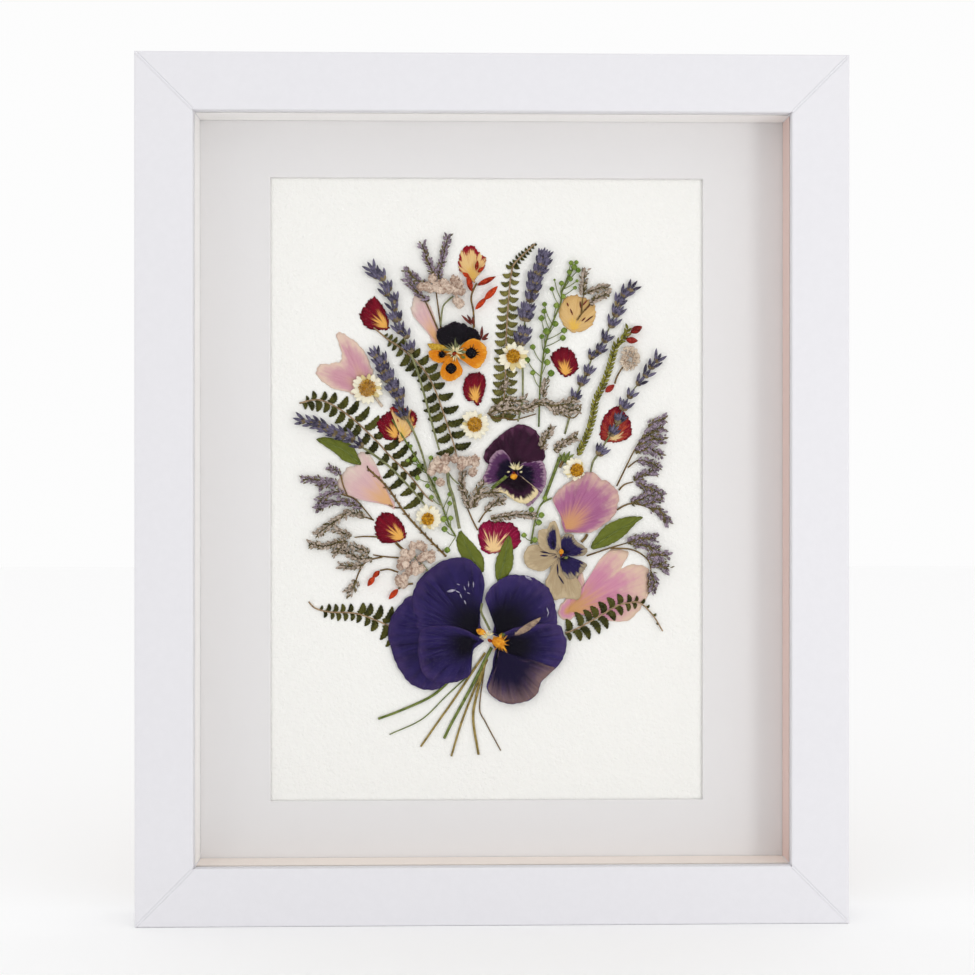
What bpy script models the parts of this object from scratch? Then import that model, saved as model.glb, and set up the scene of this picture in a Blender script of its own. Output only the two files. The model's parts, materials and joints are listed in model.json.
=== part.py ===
"""Pressed flower box frame.

A white mitred box frame with a glazing pane, spacer strips, a window mat, a sheet of art paper
with pressed flowers glued to it, a backing board and four retaining tabs.

Metres, +Z up. The frame stands upright on its bottom rail and its front faces -Y. The origin is at
the bottom centre of the outer box. Everything below is worked out in millimetres and turned into
metres where an object is made. The flowers' places are measured from the middle of the mat window.
"""

import math
from typing import NamedTuple

import bmesh
import bpy
import numpy as np

MM = 0.001
GAP = 0.3  # air left between pieces that touch

# --- frame -------------------------------------------------------------------------------------
OUTER_WIDTH = 318.0
OUTER_HEIGHT = 388.0
DEPTH = 32.0
FACE_WIDTH = 26.0  # width of a rail seen from the front
LIP_THICKNESS = 5.0
REBATE_WIDTH = 7.0  # how far the lip reaches over the glazing
RAIL_EDGE_RADIUS = 0.8

SIGHT_WIDTH = OUTER_WIDTH - 2 * FACE_WIDTH
SIGHT_HEIGHT = OUTER_HEIGHT - 2 * FACE_WIDTH
REBATE_OPENING_WIDTH = SIGHT_WIDTH + 2 * REBATE_WIDTH
REBATE_OPENING_HEIGHT = SIGHT_HEIGHT + 2 * REBATE_WIDTH
MIDDLE_HEIGHT = OUTER_HEIGHT / 2
FRONT = -DEPTH / 2
BACK = DEPTH / 2

# --- what lies in the rebate, from the front to the back -----------------------------------------
GLAZING_THICKNESS = 2.0
SPACER_DEPTH = 14.0
SPACER_SETBACK = 0.4  # the strips stand this far back from the lip's edge
MAT_THICKNESS = 1.5
PAPER_THICKNESS = 0.4
BOARD_THICKNESS = 3.0
TAB_THICKNESS = 0.5

GLAZING_FRONT = FRONT + LIP_THICKNESS + GAP
SPACER_FRONT = GLAZING_FRONT + GLAZING_THICKNESS + GAP
MAT_FRONT = SPACER_FRONT + SPACER_DEPTH + GAP
PAPER_FRONT = MAT_FRONT + MAT_THICKNESS + GAP
BOARD_FRONT = PAPER_FRONT + PAPER_THICKNESS + GAP
TAB_FRONT = BOARD_FRONT + BOARD_THICKNESS + GAP

SHEET_WIDTH = REBATE_OPENING_WIDTH - 2 * GAP
SHEET_HEIGHT = REBATE_OPENING_HEIGHT - 2 * GAP

# --- mat window and art paper --------------------------------------------------------------------
WINDOW_WIDTH = 196.0
WINDOW_HEIGHT = 283.0
WINDOW_SHIFT = -2.3  # the window is cut a little to the left of the middle
WINDOW_BEVEL = 0.7  # how much wider each side of the window is at the mat's front
PAPER_WIDTH = 210.0
PAPER_HEIGHT = 297.0

# --- retaining tabs ------------------------------------------------------------------------------
TAB_WIDTH = 14.0
TAB_REACH = 16.0

# --- pressed specimens ---------------------------------------------------------------------------
SPECIMEN_THICKNESS = 0.5
LAYER_PITCH = 0.9  # from one layer of specimens to the next one over it
ON_PAPER, LOW, MIDDLE, HIGH = range(4)  # what was glued down first lies lowest
OUTLINE_RESOLUTION = 3  # straight steps between two points of a petal's outline
SPRIG_STEPS = 14  # stations along a sprig's outline
DAISY_STEPS = 20
DAISY_BOSS_HEIGHT = 1.3


class Finish(NamedTuple):
    """Colour, roughness and metallic value of one material."""

    colour: tuple
    roughness: float
    metallic: float = 0.0


FINISHES = {
    "painted_wood": Finish((0.75, 0.75, 0.77), 0.45),
    "clear_glass": Finish((0.85, 0.92, 0.90), 0.05),
    "spacer_card": Finish((0.80, 0.79, 0.77), 0.80),
    "mat_card": Finish((0.74, 0.73, 0.73), 0.90),
    "art_paper": Finish((0.88, 0.88, 0.85), 0.95),
    "fibreboard": Finish((0.42, 0.30, 0.19), 0.80),
    "tab_steel": Finish((0.55, 0.55, 0.57), 0.35, 1.0),
    "indigo_petal": Finish((0.03, 0.02, 0.11), 0.70),
    "plum_petal": Finish((0.05, 0.01, 0.03), 0.70),
    "black_orange_petal": Finish((0.30, 0.10, 0.01), 0.70),
    "navy_beige_petal": Finish((0.25, 0.19, 0.12), 0.70),
    "pink_petal": Finish((0.60, 0.33, 0.40), 0.70),
    "lilac_petal": Finish((0.45, 0.20, 0.35), 0.70),
    "rose_petal": Finish((0.30, 0.02, 0.03), 0.70),
    "daisy_head": Finish((0.80, 0.76, 0.60), 0.80),
    "leaf_green": Finish((0.10, 0.14, 0.02), 0.75),
    "fern_green": Finish((0.04, 0.06, 0.02), 0.75),
    "lavender_bud": Finish((0.09, 0.08, 0.14), 0.80),
    "statice_floret": Finish((0.18, 0.14, 0.10), 0.85),
    "pod_green": Finish((0.10, 0.19, 0.03), 0.75),
}


class Outline(NamedTuple):
    """A flat specimen: its layer over the paper, its finish and the points of its outline.

    A smooth outline is rounded between its points, the other kind keeps its straight sides.
    """

    name: str
    layer: int
    finish: str
    points: list
    smooth: bool = True


class Sprig(NamedTuple):
    """A long specimen: stations (x, z, half width) along its middle, from the tip to the cut end."""

    name: str
    layer: int
    finish: str
    stations: list


class Daisy(NamedTuple):
    """A round flower head: its middle, the radius of its boss and the reach of its rays."""

    name: str
    layer: int
    centre: tuple
    boss_radius: float
    reach: float


OUTLINES = [
    Outline("pansy_indigo", HIGH, "indigo_petal", [
        (-5.0, -65.5), (-3.2, -61.0), (-3.4, -55.6), (-1.4, -47.2), (-1.2, -43.0), (-2.8, -37.6),
        (-6.5, -32.8), (-11.0, -31.0), (-18.0, -32.0), (-24.4, -35.2), (-30.0, -40.0),
        (-33.6, -45.6), (-34.8, -49.4), (-40.0, -53.2), (-44.4, -59.6), (-45.4, -65.5),
        (-44.0, -74.0), (-40.5, -82.0), (-35.0, -88.5), (-28.0, -91.8), (-20.5, -90.2),
        (-12.0, -87.0), (-7.6, -83.5), (-7.0, -78.0), (-6.6, -74.0), (-1.5, -72.6), (3.4, -74.6),
        (2.6, -80.0), (2.2, -85.2), (-0.6, -89.9), (1.0, -94.5), (6.0, -98.0), (13.0, -98.5),
        (19.2, -95.9), (24.4, -92.0), (25.6, -88.2), (31.8, -82.4), (36.0, -75.0), (36.4, -69.0),
        (34.8, -65.8), (32.6, -62.8), (31.6, -57.0), (30.6, -50.8), (26.8, -44.0), (21.0, -40.0),
        (14.8, -39.4), (7.2, -40.4), (-0.6, -48.2), (0.4, -54.0), (3.2, -61.4), (2.6, -65.6),
        (-1.0, -66.8),
    ]),
    Outline("pansy_plum", LOW, "plum_petal", [
        (-1.2, 17.0), (4.0, 22.0), (10.4, 27.8), (13.6, 29.2), (16.8, 29.6), (22.4, 25.6),
        (25.4, 21.0), (26.2, 16.0), (26.2, 12.6), (27.3, 8.0), (26.8, 2.0), (25.0, -2.4),
        (21.6, -5.4), (18.2, -7.6), (14.6, -6.8), (11.2, -7.4), (9.0, -3.6), (5.0, -1.0),
        (1.6, -0.4), (0.0, 2.4), (-2.2, 4.4), (-0.8, 8.0), (0.2, 11.6), (0.0, 14.4),
    ]),
    Outline("viola_black", MIDDLE, "black_orange_petal", [
        (-27.2, 66.4), (-26.8, 63.4), (-25.4, 60.0), (-22.2, 57.6), (-21.0, 55.4), (-21.2, 52.6),
        (-19.6, 50.0), (-16.0, 49.2), (-12.6, 50.8), (-11.4, 54.2), (-12.4, 57.2), (-11.8, 60.0),
        (-10.0, 58.8), (-8.4, 56.4), (-5.2, 55.0), (-2.2, 57.4), (-0.5, 61.4), (-0.8, 65.2),
        (-2.6, 68.0), (-3.4, 70.2), (-5.0, 72.6), (-8.0, 74.4), (-11.8, 75.8), (-14.8, 77.0),
        (-17.8, 76.3), (-20.8, 74.0), (-23.2, 71.0), (-22.8, 68.0), (-24.6, 66.8),
    ]),
    Outline("viola_navy", MIDDLE, "navy_beige_petal", [
        (24.4, -18.8), (27.2, -18.4), (28.8, -15.4), (30.8, -14.6), (32.8, -16.8), (33.6, -20.0),
        (35.0, -21.2), (37.2, -20.0), (39.6, -20.4), (41.6, -22.2), (44.2, -25.0), (46.0, -27.6),
        (44.8, -31.0), (44.0, -33.2), (45.6, -35.0), (44.6, -37.2), (41.4, -39.8), (41.6, -43.0),
        (42.4, -46.4), (41.6, -50.4), (36.0, -50.2), (31.4, -50.4), (30.0, -46.6), (27.2, -43.0),
        (28.6, -39.0), (29.2, -36.2), (28.0, -35.6), (24.8, -37.6), (21.0, -36.6), (18.0, -34.8),
        (16.6, -32.0), (16.8, -29.6), (18.0, -27.2), (20.2, -25.4), (22.8, -24.6), (23.2, -21.6),
    ]),
    Outline("petal_two_lobed", ON_PAPER, "pink_petal", [
        (-68.8, 68.4), (-67.4, 70.2), (-65.2, 70.2), (-61.6, 68.2), (-58.4, 66.4), (-56.4, 63.4),
        (-54.8, 59.0), (-53.0, 54.6), (-54.4, 51.0), (-56.6, 46.6), (-59.0, 43.4), (-62.2, 44.2),
        (-65.2, 44.6), (-68.8, 46.0), (-72.0, 47.0), (-75.2, 49.4), (-77.4, 51.8), (-78.4, 54.4),
        (-77.4, 56.8), (-74.8, 57.5), (-71.2, 57.8), (-68.4, 58.2), (-66.8, 59.8), (-66.8, 62.4),
        (-67.8, 65.4),
    ]),
    Outline("petal_pink_large", ON_PAPER, "pink_petal", [
        (40.0, -40.6), (41.8, -38.8), (43.8, -38.6), (44.6, -42.2), (45.8, -44.6), (47.4, -42.4),
        (49.8, -37.2), (53.0, -32.4), (56.6, -28.6), (59.8, -27.6), (63.2, -27.9), (65.0, -29.8),
        (63.6, -32.6), (61.2, -36.2), (63.8, -35.4), (67.4, -34.2), (70.2, -34.9), (73.0, -36.1),
        (74.4, -38.6), (74.7, -42.4), (74.2, -46.4), (73.6, -50.4), (71.8, -54.4), (69.0, -57.6),
        (65.0, -60.2), (60.2, -61.0), (56.0, -60.2), (51.5, -58.0), (47.4, -56.6), (43.0, -57.4),
        (38.4, -59.2), (34.2, -61.6), (32.2, -59.0), (33.0, -54.4), (35.0, -50.4), (37.8, -47.6),
        (39.8, -44.6),
    ]),
    Outline("petal_lilac", LOW, "lilac_petal", [
        (48.8, 8.0), (51.0, 7.0), (52.4, 4.8), (54.8, 4.3), (57.0, 2.6), (59.4, 0.8), (60.2, -3.0),
        (60.0, -7.4), (58.8, -11.0), (56.4, -14.6), (53.6, -17.2), (50.0, -19.2), (46.0, -20.0),
        (40.6, -20.2), (36.0, -19.4), (34.2, -15.0), (32.4, -10.6), (30.6, -7.4), (29.8, -4.2),
        (30.6, -1.4), (33.0, -1.0), (34.0, 1.4), (36.0, 3.0), (38.6, 5.2), (42.4, 6.5), (46.2, 7.6),
    ]),
    Outline("petal_pale_left", ON_PAPER, "pink_petal", [
        (-59.8, 15.8), (-56.8, 18.2), (-54.2, 16.8), (-51.8, 12.8), (-50.0, 9.0), (-48.4, 5.2),
        (-46.6, 0.8), (-44.6, -3.4), (-41.6, -8.2), (-42.8, -9.4), (-45.4, -8.6), (-48.6, -6.4),
        (-52.4, -5.1), (-56.6, -4.5), (-61.0, -4.4), (-65.0, -2.6), (-68.0, -0.4), (-68.9, 2.6),
        (-67.6, 6.4), (-64.6, 9.2), (-60.6, 11.0),
    ]),
    Outline("petal_pale_top", ON_PAPER, "pink_petal", [
        (-32.8, 90.0), (-33.8, 86.0), (-35.2, 82.4), (-34.2, 79.4), (-30.8, 76.0), (-28.0, 73.2),
        (-26.0, 70.0), (-24.4, 66.8), (-22.8, 67.4), (-23.4, 72.0), (-24.4, 76.0), (-25.0, 80.0),
        (-26.8, 84.2), (-29.8, 87.6),
    ]),
    Outline("rose_petal_cream_top", ON_PAPER, "rose_petal", [
        (-11.0, 110.4), (-9.0, 110.8), (-6.9, 111.8), (-5.6, 110.2), (-3.6, 108.8), (-1.6, 107.0),
        (-0.6, 105.4), (-1.0, 102.6), (-2.8, 99.8), (-4.6, 97.0), (-6.4, 95.0), (-8.4, 96.8),
        (-10.6, 99.0), (-12.6, 101.2), (-13.4, 103.4), (-13.1, 106.0), (-12.2, 108.4),
    ]),
    Outline("rose_petal_crimson_top", ON_PAPER, "rose_petal", [
        (-52.6, 88.0), (-50.6, 87.1), (-48.4, 84.8), (-46.6, 82.0), (-45.4, 79.0), (-44.9, 76.0),
        (-45.0, 73.6), (-47.2, 72.5), (-50.4, 73.0), (-53.8, 73.8), (-56.4, 75.8), (-58.3, 78.2),
        (-58.4, 80.2), (-57.2, 82.2), (-55.6, 84.4), (-53.8, 86.8),
    ]),
    Outline("rose_petal_orange", ON_PAPER, "rose_petal", [
        (38.4, 89.4), (42.4, 88.8), (46.0, 88.0), (48.6, 85.6), (49.8, 82.0), (49.8, 78.4),
        (48.0, 75.2), (44.2, 72.6), (40.4, 72.0), (37.2, 73.2), (34.6, 76.0), (32.9, 79.4),
        (32.7, 82.6), (34.2, 86.0), (36.0, 88.2),
    ]),
    Outline("rose_petal_crimson_right", ON_PAPER, "rose_petal", [
        (33.6, 65.2), (30.8, 63.4), (29.1, 61.2), (29.6, 58.8), (31.6, 55.8), (33.4, 53.0),
        (35.6, 51.8), (38.0, 52.0), (40.4, 53.6), (41.9, 56.0), (41.5, 58.6), (40.4, 61.4),
        (38.6, 63.6), (36.2, 64.8),
    ]),
    Outline("rose_petal_striped", ON_PAPER, "rose_petal", [
        (60.0, 38.6), (57.0, 36.4), (53.6, 34.2), (52.3, 30.6), (52.2, 26.0), (53.4, 22.8),
        (56.6, 21.7), (61.0, 22.2), (65.4, 24.4), (66.0, 28.2), (65.9, 32.0), (64.4, 34.8),
        (62.4, 37.0),
    ]),
    Outline("rose_petal_crimson_low", ON_PAPER, "rose_petal", [
        (-49.2, -11.8), (-46.8, -12.2), (-44.4, -10.8), (-42.4, -11.6), (-40.6, -13.6),
        (-38.6, -16.2), (-37.6, -19.2), (-37.5, -22.2), (-39.4, -23.8), (-42.4, -24.9),
        (-46.0, -24.5), (-49.2, -23.6), (-51.0, -21.4), (-51.8, -18.4), (-51.7, -15.4),
        (-50.8, -13.2),
    ]),
    Outline("rose_petal_centre", ON_PAPER, "rose_petal", [
        (-1.6, -15.2), (2.0, -14.6), (5.8, -15.3), (9.6, -14.8), (12.4, -16.4), (14.4, -18.6),
        (15.4, -21.4), (14.6, -25.4), (11.6, -28.0), (6.2, -29.2), (-0.4, -29.1), (-3.0, -27.0),
        (-4.2, -23.4), (-4.6, -20.0), (-3.4, -17.4),
    ]),
    Outline("rose_petal_small", LOW, "rose_petal", [
        (-7.2, 53.2), (-9.6, 51.4), (-10.8, 48.8), (-11.1, 45.6), (-10.0, 42.0), (-8.2, 39.9),
        (-6.2, 39.4), (-4.4, 38.3), (-3.0, 40.4), (-1.2, 43.8), (-0.5, 48.0), (-1.2, 51.2),
        (-3.2, 52.5), (-4.9, 52.2),
    ]),
    Outline("rose_petal_cream_left", ON_PAPER, "rose_petal", [
        (-44.8, 37.4), (-42.0, 38.0), (-38.6, 37.2), (-35.8, 37.2), (-33.6, 35.2), (-32.3, 32.4),
        (-33.0, 29.8), (-35.0, 26.4), (-37.6, 23.6), (-40.0, 24.0), (-42.2, 27.8), (-44.0, 32.0),
        (-45.3, 35.4),
    ]),
    Outline("leaf_left", LOW, "leaf_green", [
        (-78.4, 23.0), (-74.6, 24.2), (-70.8, 23.8), (-66.0, 22.4), (-62.4, 20.4), (-60.0, 17.2),
        (-59.4, 14.2), (-57.8, 11.4), (-61.4, 11.5), (-65.2, 12.8), (-68.0, 15.0), (-71.0, 17.4),
        (-75.0, 20.4),
    ]),
    Outline("leaf_right", MIDDLE, "leaf_green", [
        (71.4, -12.6), (69.4, -11.9), (66.6, -12.1), (62.8, -12.8), (58.8, -14.4), (54.8, -16.8),
        (52.2, -19.4), (49.6, -23.4), (47.5, -27.1), (51.6, -26.9), (56.4, -25.4), (61.2, -22.8),
        (64.6, -20.0), (67.0, -16.8), (69.6, -14.6),
    ]),
    Outline("leaf_centre_left", LOW, "leaf_green", [
        (-13.0, -18.2), (-11.0, -18.6), (-8.0, -22.6), (-5.0, -26.2), (-2.8, -29.2), (-1.3, -32.4),
        (-1.5, -35.8), (-2.6, -39.0), (-5.6, -37.8), (-9.4, -34.4), (-11.8, -31.2), (-13.0, -27.4),
        (-14.2, -23.2),
    ]),
    Outline("leaf_centre_right", LOW, "leaf_green", [
        (9.8, -20.8), (8.2, -23.2), (6.6, -26.2), (4.9, -30.0), (3.7, -33.8), (3.9, -38.0),
        (4.9, -42.6), (7.6, -41.0), (10.4, -37.8), (11.8, -34.2), (12.1, -29.8), (11.5, -25.0),
        (10.8, -22.2),
    ]),
    Outline("statice_upper_left", LOW, "statice_floret", [
        (-19.4, 118.0), (-17.8, 116.0), (-18.4, 112.8), (-20.0, 108.8), (-21.6, 102.4),
        (-22.8, 97.6), (-22.8, 92.0), (-22.4, 86.0), (-21.8, 80.0), (-21.0, 74.8), (-23.2, 73.2),
        (-24.0, 76.8), (-24.8, 81.6), (-28.0, 86.8), (-32.0, 90.4), (-36.0, 94.0), (-38.0, 96.8),
        (-38.6, 100.4), (-35.8, 100.6), (-33.6, 101.2), (-30.0, 98.8), (-28.0, 96.8),
        (-26.6, 98.6), (-28.0, 102.8), (-30.8, 107.6), (-31.4, 111.2), (-30.4, 113.0),
        (-28.8, 112.4), (-27.2, 109.2), (-26.0, 104.8), (-24.8, 104.0), (-24.2, 109.2),
        (-22.4, 111.6), (-20.6, 116.4),
    ], smooth=False),
    Outline("statice_right_upper", LOW, "statice_floret", [
        (61.2, 5.4), (63.6, 10.6), (67.6, 17.4), (70.8, 23.4), (74.0, 28.6), (78.2, 33.4),
        (80.4, 34.4), (82.6, 32.4), (82.2, 30.4), (80.2, 30.0), (80.2, 27.4), (82.2, 24.8),
        (82.0, 22.0), (80.4, 19.6), (80.6, 14.8), (79.0, 12.2), (76.8, 10.6), (74.4, 11.8),
        (71.6, 12.6), (68.6, 12.8), (65.6, 11.4), (63.4, 8.6), (61.8, 4.8),
    ], smooth=False),
    Outline("statice_right_middle", ON_PAPER, "statice_floret", [
        (60.8, 0.0), (64.0, 3.0), (67.4, 4.2), (70.2, 6.8), (74.0, 7.8), (78.0, 9.4), (78.6, 7.0),
        (76.6, 4.8), (78.4, 1.8), (79.8, -0.2), (81.2, -3.4), (79.0, -5.4), (75.6, -4.4),
        (73.6, -1.4), (71.2, 1.4), (68.4, 2.4), (65.2, 1.6), (61.4, -1.0),
    ], smooth=False),
    Outline("statice_right_low", LOW, "statice_floret", [
        (47.0, -30.6), (50.8, -28.0), (56.0, -26.6), (60.4, -24.8), (64.4, -24.2), (66.6, -22.4),
        (67.6, -20.4), (70.4, -20.8), (76.0, -20.2), (78.6, -23.8), (78.2, -26.2), (82.2, -27.0),
        (82.8, -30.4), (84.0, -32.2), (82.4, -34.6), (83.7, -38.2), (81.4, -39.6), (77.8, -40.6),
        (77.4, -43.2), (77.0, -46.4), (75.0, -47.9), (73.6, -45.6), (73.2, -41.6), (74.2, -38.0),
        (74.0, -34.8), (72.4, -31.8), (69.8, -29.8), (66.2, -28.3), (62.2, -27.6), (57.4, -28.0),
        (53.0, -29.2), (47.2, -31.4),
    ], smooth=False),
    Outline("statice_left_low", ON_PAPER, "statice_floret", [
        (-41.0, -30.8), (-47.6, -30.2), (-52.0, -29.0), (-56.0, -27.6), (-59.0, -25.6),
        (-62.4, -24.8), (-63.0, -26.4), (-64.6, -27.4), (-67.0, -27.6), (-67.6, -29.2),
        (-63.6, -32.2), (-65.0, -33.6), (-68.0, -33.8), (-67.8, -36.4), (-63.6, -37.2),
        (-64.0, -40.0), (-65.4, -43.0), (-65.8, -47.0), (-63.8, -48.2), (-61.6, -46.8),
        (-60.4, -43.0), (-58.8, -38.0), (-56.4, -34.8), (-53.0, -32.6), (-47.0, -31.6),
        (-41.0, -31.8),
    ], smooth=False),
    Outline("pod_sprig_right", LOW, "pod_green", [
        (38.6, 105.0), (40.6, 104.4), (42.8, 101.6), (41.4, 98.4), (41.2, 95.0), (41.4, 92.0),
        (37.0, 89.8), (35.8, 87.0), (33.6, 82.4), (32.6, 75.6), (37.4, 73.6), (36.4, 69.4),
        (34.0, 67.8), (29.0, 67.0), (28.8, 62.0), (29.2, 57.6), (31.8, 54.6), (29.0, 51.0),
        (25.4, 49.6), (25.0, 41.8), (24.8, 29.0), (23.2, 29.0), (23.4, 41.8), (22.6, 48.6),
        (19.6, 53.0), (20.2, 55.2), (22.0, 55.8), (17.4, 58.0), (18.2, 61.0), (22.6, 59.6),
        (19.2, 65.6), (21.0, 66.8), (23.6, 69.4), (23.4, 78.0), (24.8, 80.4), (25.0, 86.0),
        (28.2, 91.6), (29.8, 93.2), (30.2, 96.8), (32.6, 94.8), (34.4, 96.2), (36.4, 97.0),
        (36.4, 102.4),
    ], smooth=False),
]

SPRIGS = [
    Sprig("fern_centre", LOW, "fern_green", [
        (-51.0, 74.0, 0.4), (-46.0, 70.0, 1.6), (-40.0, 65.0, 3.6), (-33.5, 60.5, 4.6),
        (-28.4, 54.6, 4.8), (-24.4, 47.0, 5.2), (-21.8, 38.6, 5.6), (-18.6, 30.0, 6.2),
        (-15.4, 20.6, 6.4), (-13.8, 15.8, 1.2),
    ]),
    Sprig("fern_olive", ON_PAPER, "fern_green", [
        (21.8, 112.6, 0.3), (16.4, 108.2, 1.0), (12.4, 102.4, 1.6), (10.6, 97.0, 3.2),
        (10.0, 91.0, 4.2), (9.5, 84.0, 4.6), (9.0, 76.0, 5.0), (8.6, 68.0, 5.4), (8.4, 58.0, 6.0),
        (8.0, 48.0, 6.6), (7.4, 38.0, 6.8), (7.8, 29.8, 2.0),
    ]),
    Sprig("fern_left", LOW, "fern_green", [
        (-86.0, 39.4, 0.6), (-80.0, 40.2, 2.6), (-74.0, 39.4, 3.4), (-67.4, 36.2, 4.6),
        (-60.4, 31.4, 5.4), (-53.6, 25.4, 5.6), (-46.0, 17.6, 5.4), (-38.0, 10.0, 5.2),
        (-30.6, -0.6, 5.0), (-24.6, -6.0, 2.2),
    ]),
    Sprig("fern_low_left", ON_PAPER, "fern_green", [
        (-81.8, -51.2, 0.3), (-77.0, -54.6, 1.0), (-71.0, -56.2, 2.6), (-63.6, -56.6, 3.4),
        (-55.0, -58.4, 3.8), (-47.4, -61.8, 4.8), (-41.0, -66.0, 4.2),
    ]),
    Sprig("fern_low_right", LOW, "fern_green", [
        (80.8, -65.2, 0.3), (77.8, -60.0, 0.7), (75.0, -56.2, 0.9), (70.4, -52.4, 1.8),
        (65.0, -52.4, 2.8), (59.6, -53.8, 3.6), (54.4, -56.4, 4.0), (49.4, -59.6, 4.4),
        (44.4, -61.8, 4.6), (39.4, -64.2, 3.8), (35.0, -65.8, 2.6),
    ]),
    Sprig("lavender_upper_left", MIDDLE, "lavender_bud", [
        (-55.4, 101.2, 1.0), (-51.4, 99.0, 2.8), (-47.8, 95.0, 2.4), (-45.6, 91.0, 3.2),
        (-43.2, 86.0, 3.0), (-41.4, 80.4, 3.6), (-39.0, 74.6, 3.6), (-37.4, 69.0, 3.0),
        (-36.0, 63.0, 1.4),
    ]),
    Sprig("lavender_upper_middle", MIDDLE, "lavender_bud", [
        (26.2, 109.8, 2.2), (25.2, 105.8, 4.0), (23.2, 101.6, 4.0), (21.4, 96.0, 3.8),
        (20.4, 90.8, 2.6), (18.8, 84.4, 3.4), (17.2, 78.4, 3.4), (16.4, 72.6, 4.4),
        (15.2, 67.6, 1.6), (15.9, 60.0, 0.6), (16.0, 50.0, 0.6), (15.9, 42.0, 0.6),
    ]),
    Sprig("lavender_left_long", MIDDLE, "lavender_bud", [
        (-51.8, 63.4, 1.4), (-48.8, 60.0, 3.2), (-46.6, 55.2, 3.2), (-44.8, 50.0, 3.0),
        (-42.0, 45.2, 3.4), (-39.4, 40.0, 2.8), (-38.0, 34.0, 2.0), (-35.6, 29.8, 0.7),
        (-32.6, 24.0, 0.6), (-29.6, 17.0, 0.6), (-27.0, 11.2, 0.6),
    ]),
    Sprig("lavender_far_left", MIDDLE, "lavender_bud", [
        (-88.0, 32.6, 0.8), (-83.4, 31.0, 1.2), (-77.8, 29.6, 2.0), (-71.6, 27.4, 2.4),
        (-66.0, 24.8, 2.6), (-61.6, 22.2, 1.8), (-57.6, 19.6, 1.0), (-52.4, 15.8, 0.8),
        (-47.6, 13.2, 1.8), (-43.4, 8.8, 1.0), (-37.8, 3.6, 0.7), (-31.0, -4.0, 0.7),
        (-26.4, -10.0, 0.6), (-22.8, -15.6, 0.6),
    ]),
    Sprig("lavender_right_thin", ON_PAPER, "lavender_bud", [
        (67.2, 94.4, 0.8), (64.6, 90.6, 2.0), (61.8, 86.6, 2.2), (59.4, 82.4, 2.2),
        (57.6, 77.4, 1.4), (55.4, 72.6, 1.6), (53.4, 67.8, 1.8), (50.2, 62.6, 2.2),
        (47.6, 57.0, 1.6), (44.8, 51.8, 2.4), (42.0, 44.4, 1.6), (39.4, 39.0, 0.8),
        (37.6, 33.0, 0.6), (35.6, 25.4, 0.6),
    ]),
    Sprig("lavender_right_long", MIDDLE, "lavender_bud", [
        (79.4, 61.8, 0.8), (77.0, 58.6, 1.6), (73.6, 53.8, 1.6), (70.4, 49.4, 1.6),
        (67.8, 45.2, 1.0), (64.4, 41.6, 2.6), (62.2, 37.0, 3.2), (60.0, 32.4, 2.4),
        (57.8, 28.0, 2.6), (54.6, 23.4, 1.0), (52.6, 18.4, 2.4), (50.2, 13.8, 1.4),
        (47.2, 8.2, 0.6),
    ]),
]

DAISIES = [
    Daisy("daisy_top", HIGH, (11.8, 60.8), 3.2, 7.4),
    Daisy("daisy_left", HIGH, (-54.8, 46.2), 4.0, 6.8),
    Daisy("daisy_middle", HIGH, (-5.8, 29.4), 3.4, 7.0),
    Daisy("daisy_right", HIGH, (41.0, 8.4), 3.1, 5.6),
    Daisy("daisy_low", HIGH, (-27.4, -13.6), 2.9, 6.4),
]


def clear_scene():
    """Remove whatever the file holds, so that the model is the only thing in it."""
    for item in list(bpy.data.objects):
        bpy.data.objects.remove(item, do_unlink=True)


def new_collection(name):
    """Make a collection and link it to the scene."""
    collection = bpy.data.collections.new(name)
    bpy.context.scene.collection.children.link(collection)
    return collection


def make_material(name, finish):
    """Make a Principled material with one finish."""
    material = bpy.data.materials.new(name)
    material.use_nodes = True
    shader = material.node_tree.nodes["Principled BSDF"]
    shader.inputs["Base Color"].default_value = (*finish.colour, 1.0)
    shader.inputs["Roughness"].default_value = finish.roughness
    shader.inputs["Metallic"].default_value = finish.metallic
    return material


def box(name, low, high, collection, material=None):
    """Make a box between two corners given in millimetres."""
    size = [(b - a) * MM for a, b in zip(low, high)]
    centre = [(a + b) / 2 * MM for a, b in zip(low, high)]
    mesh = bpy.data.meshes.new(name)
    shape = bmesh.new()
    bmesh.ops.create_cube(shape, size=1.0)
    bmesh.ops.scale(shape, vec=size, verts=shape.verts)
    shape.to_mesh(mesh)
    shape.free()
    item = bpy.data.objects.new(name, mesh)
    item.location = centre
    collection.objects.link(item)
    if material:
        mesh.materials.append(material)
    return item


def flat_curve(name, points, thickness, front, smooth):
    """Make an upright plate from an outline in millimetres, with its front face at y = front."""
    curve = bpy.data.curves.new(name, "CURVE")
    curve.dimensions = "2D"
    curve.fill_mode = "BOTH"
    curve.extrude = thickness / 2 * MM
    curve.resolution_u = OUTLINE_RESOLUTION
    spline = curve.splines.new("BEZIER" if smooth else "POLY")
    knots = spline.bezier_points if smooth else spline.points
    knots.add(len(points) - 1)
    for knot, (x, z) in zip(knots, points):
        if smooth:
            knot.co = (x * MM, z * MM, 0.0)
            knot.handle_left_type = "AUTO"
            knot.handle_right_type = "AUTO"
        else:
            knot.co = (x * MM, z * MM, 0.0, 1.0)
    spline.use_cyclic_u = True
    item = bpy.data.objects.new(name, curve)
    item.rotation_euler = (math.pi / 2, 0.0, 0.0)
    item.location = (0.0, (front + thickness / 2) * MM, 0.0)
    return item


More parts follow.
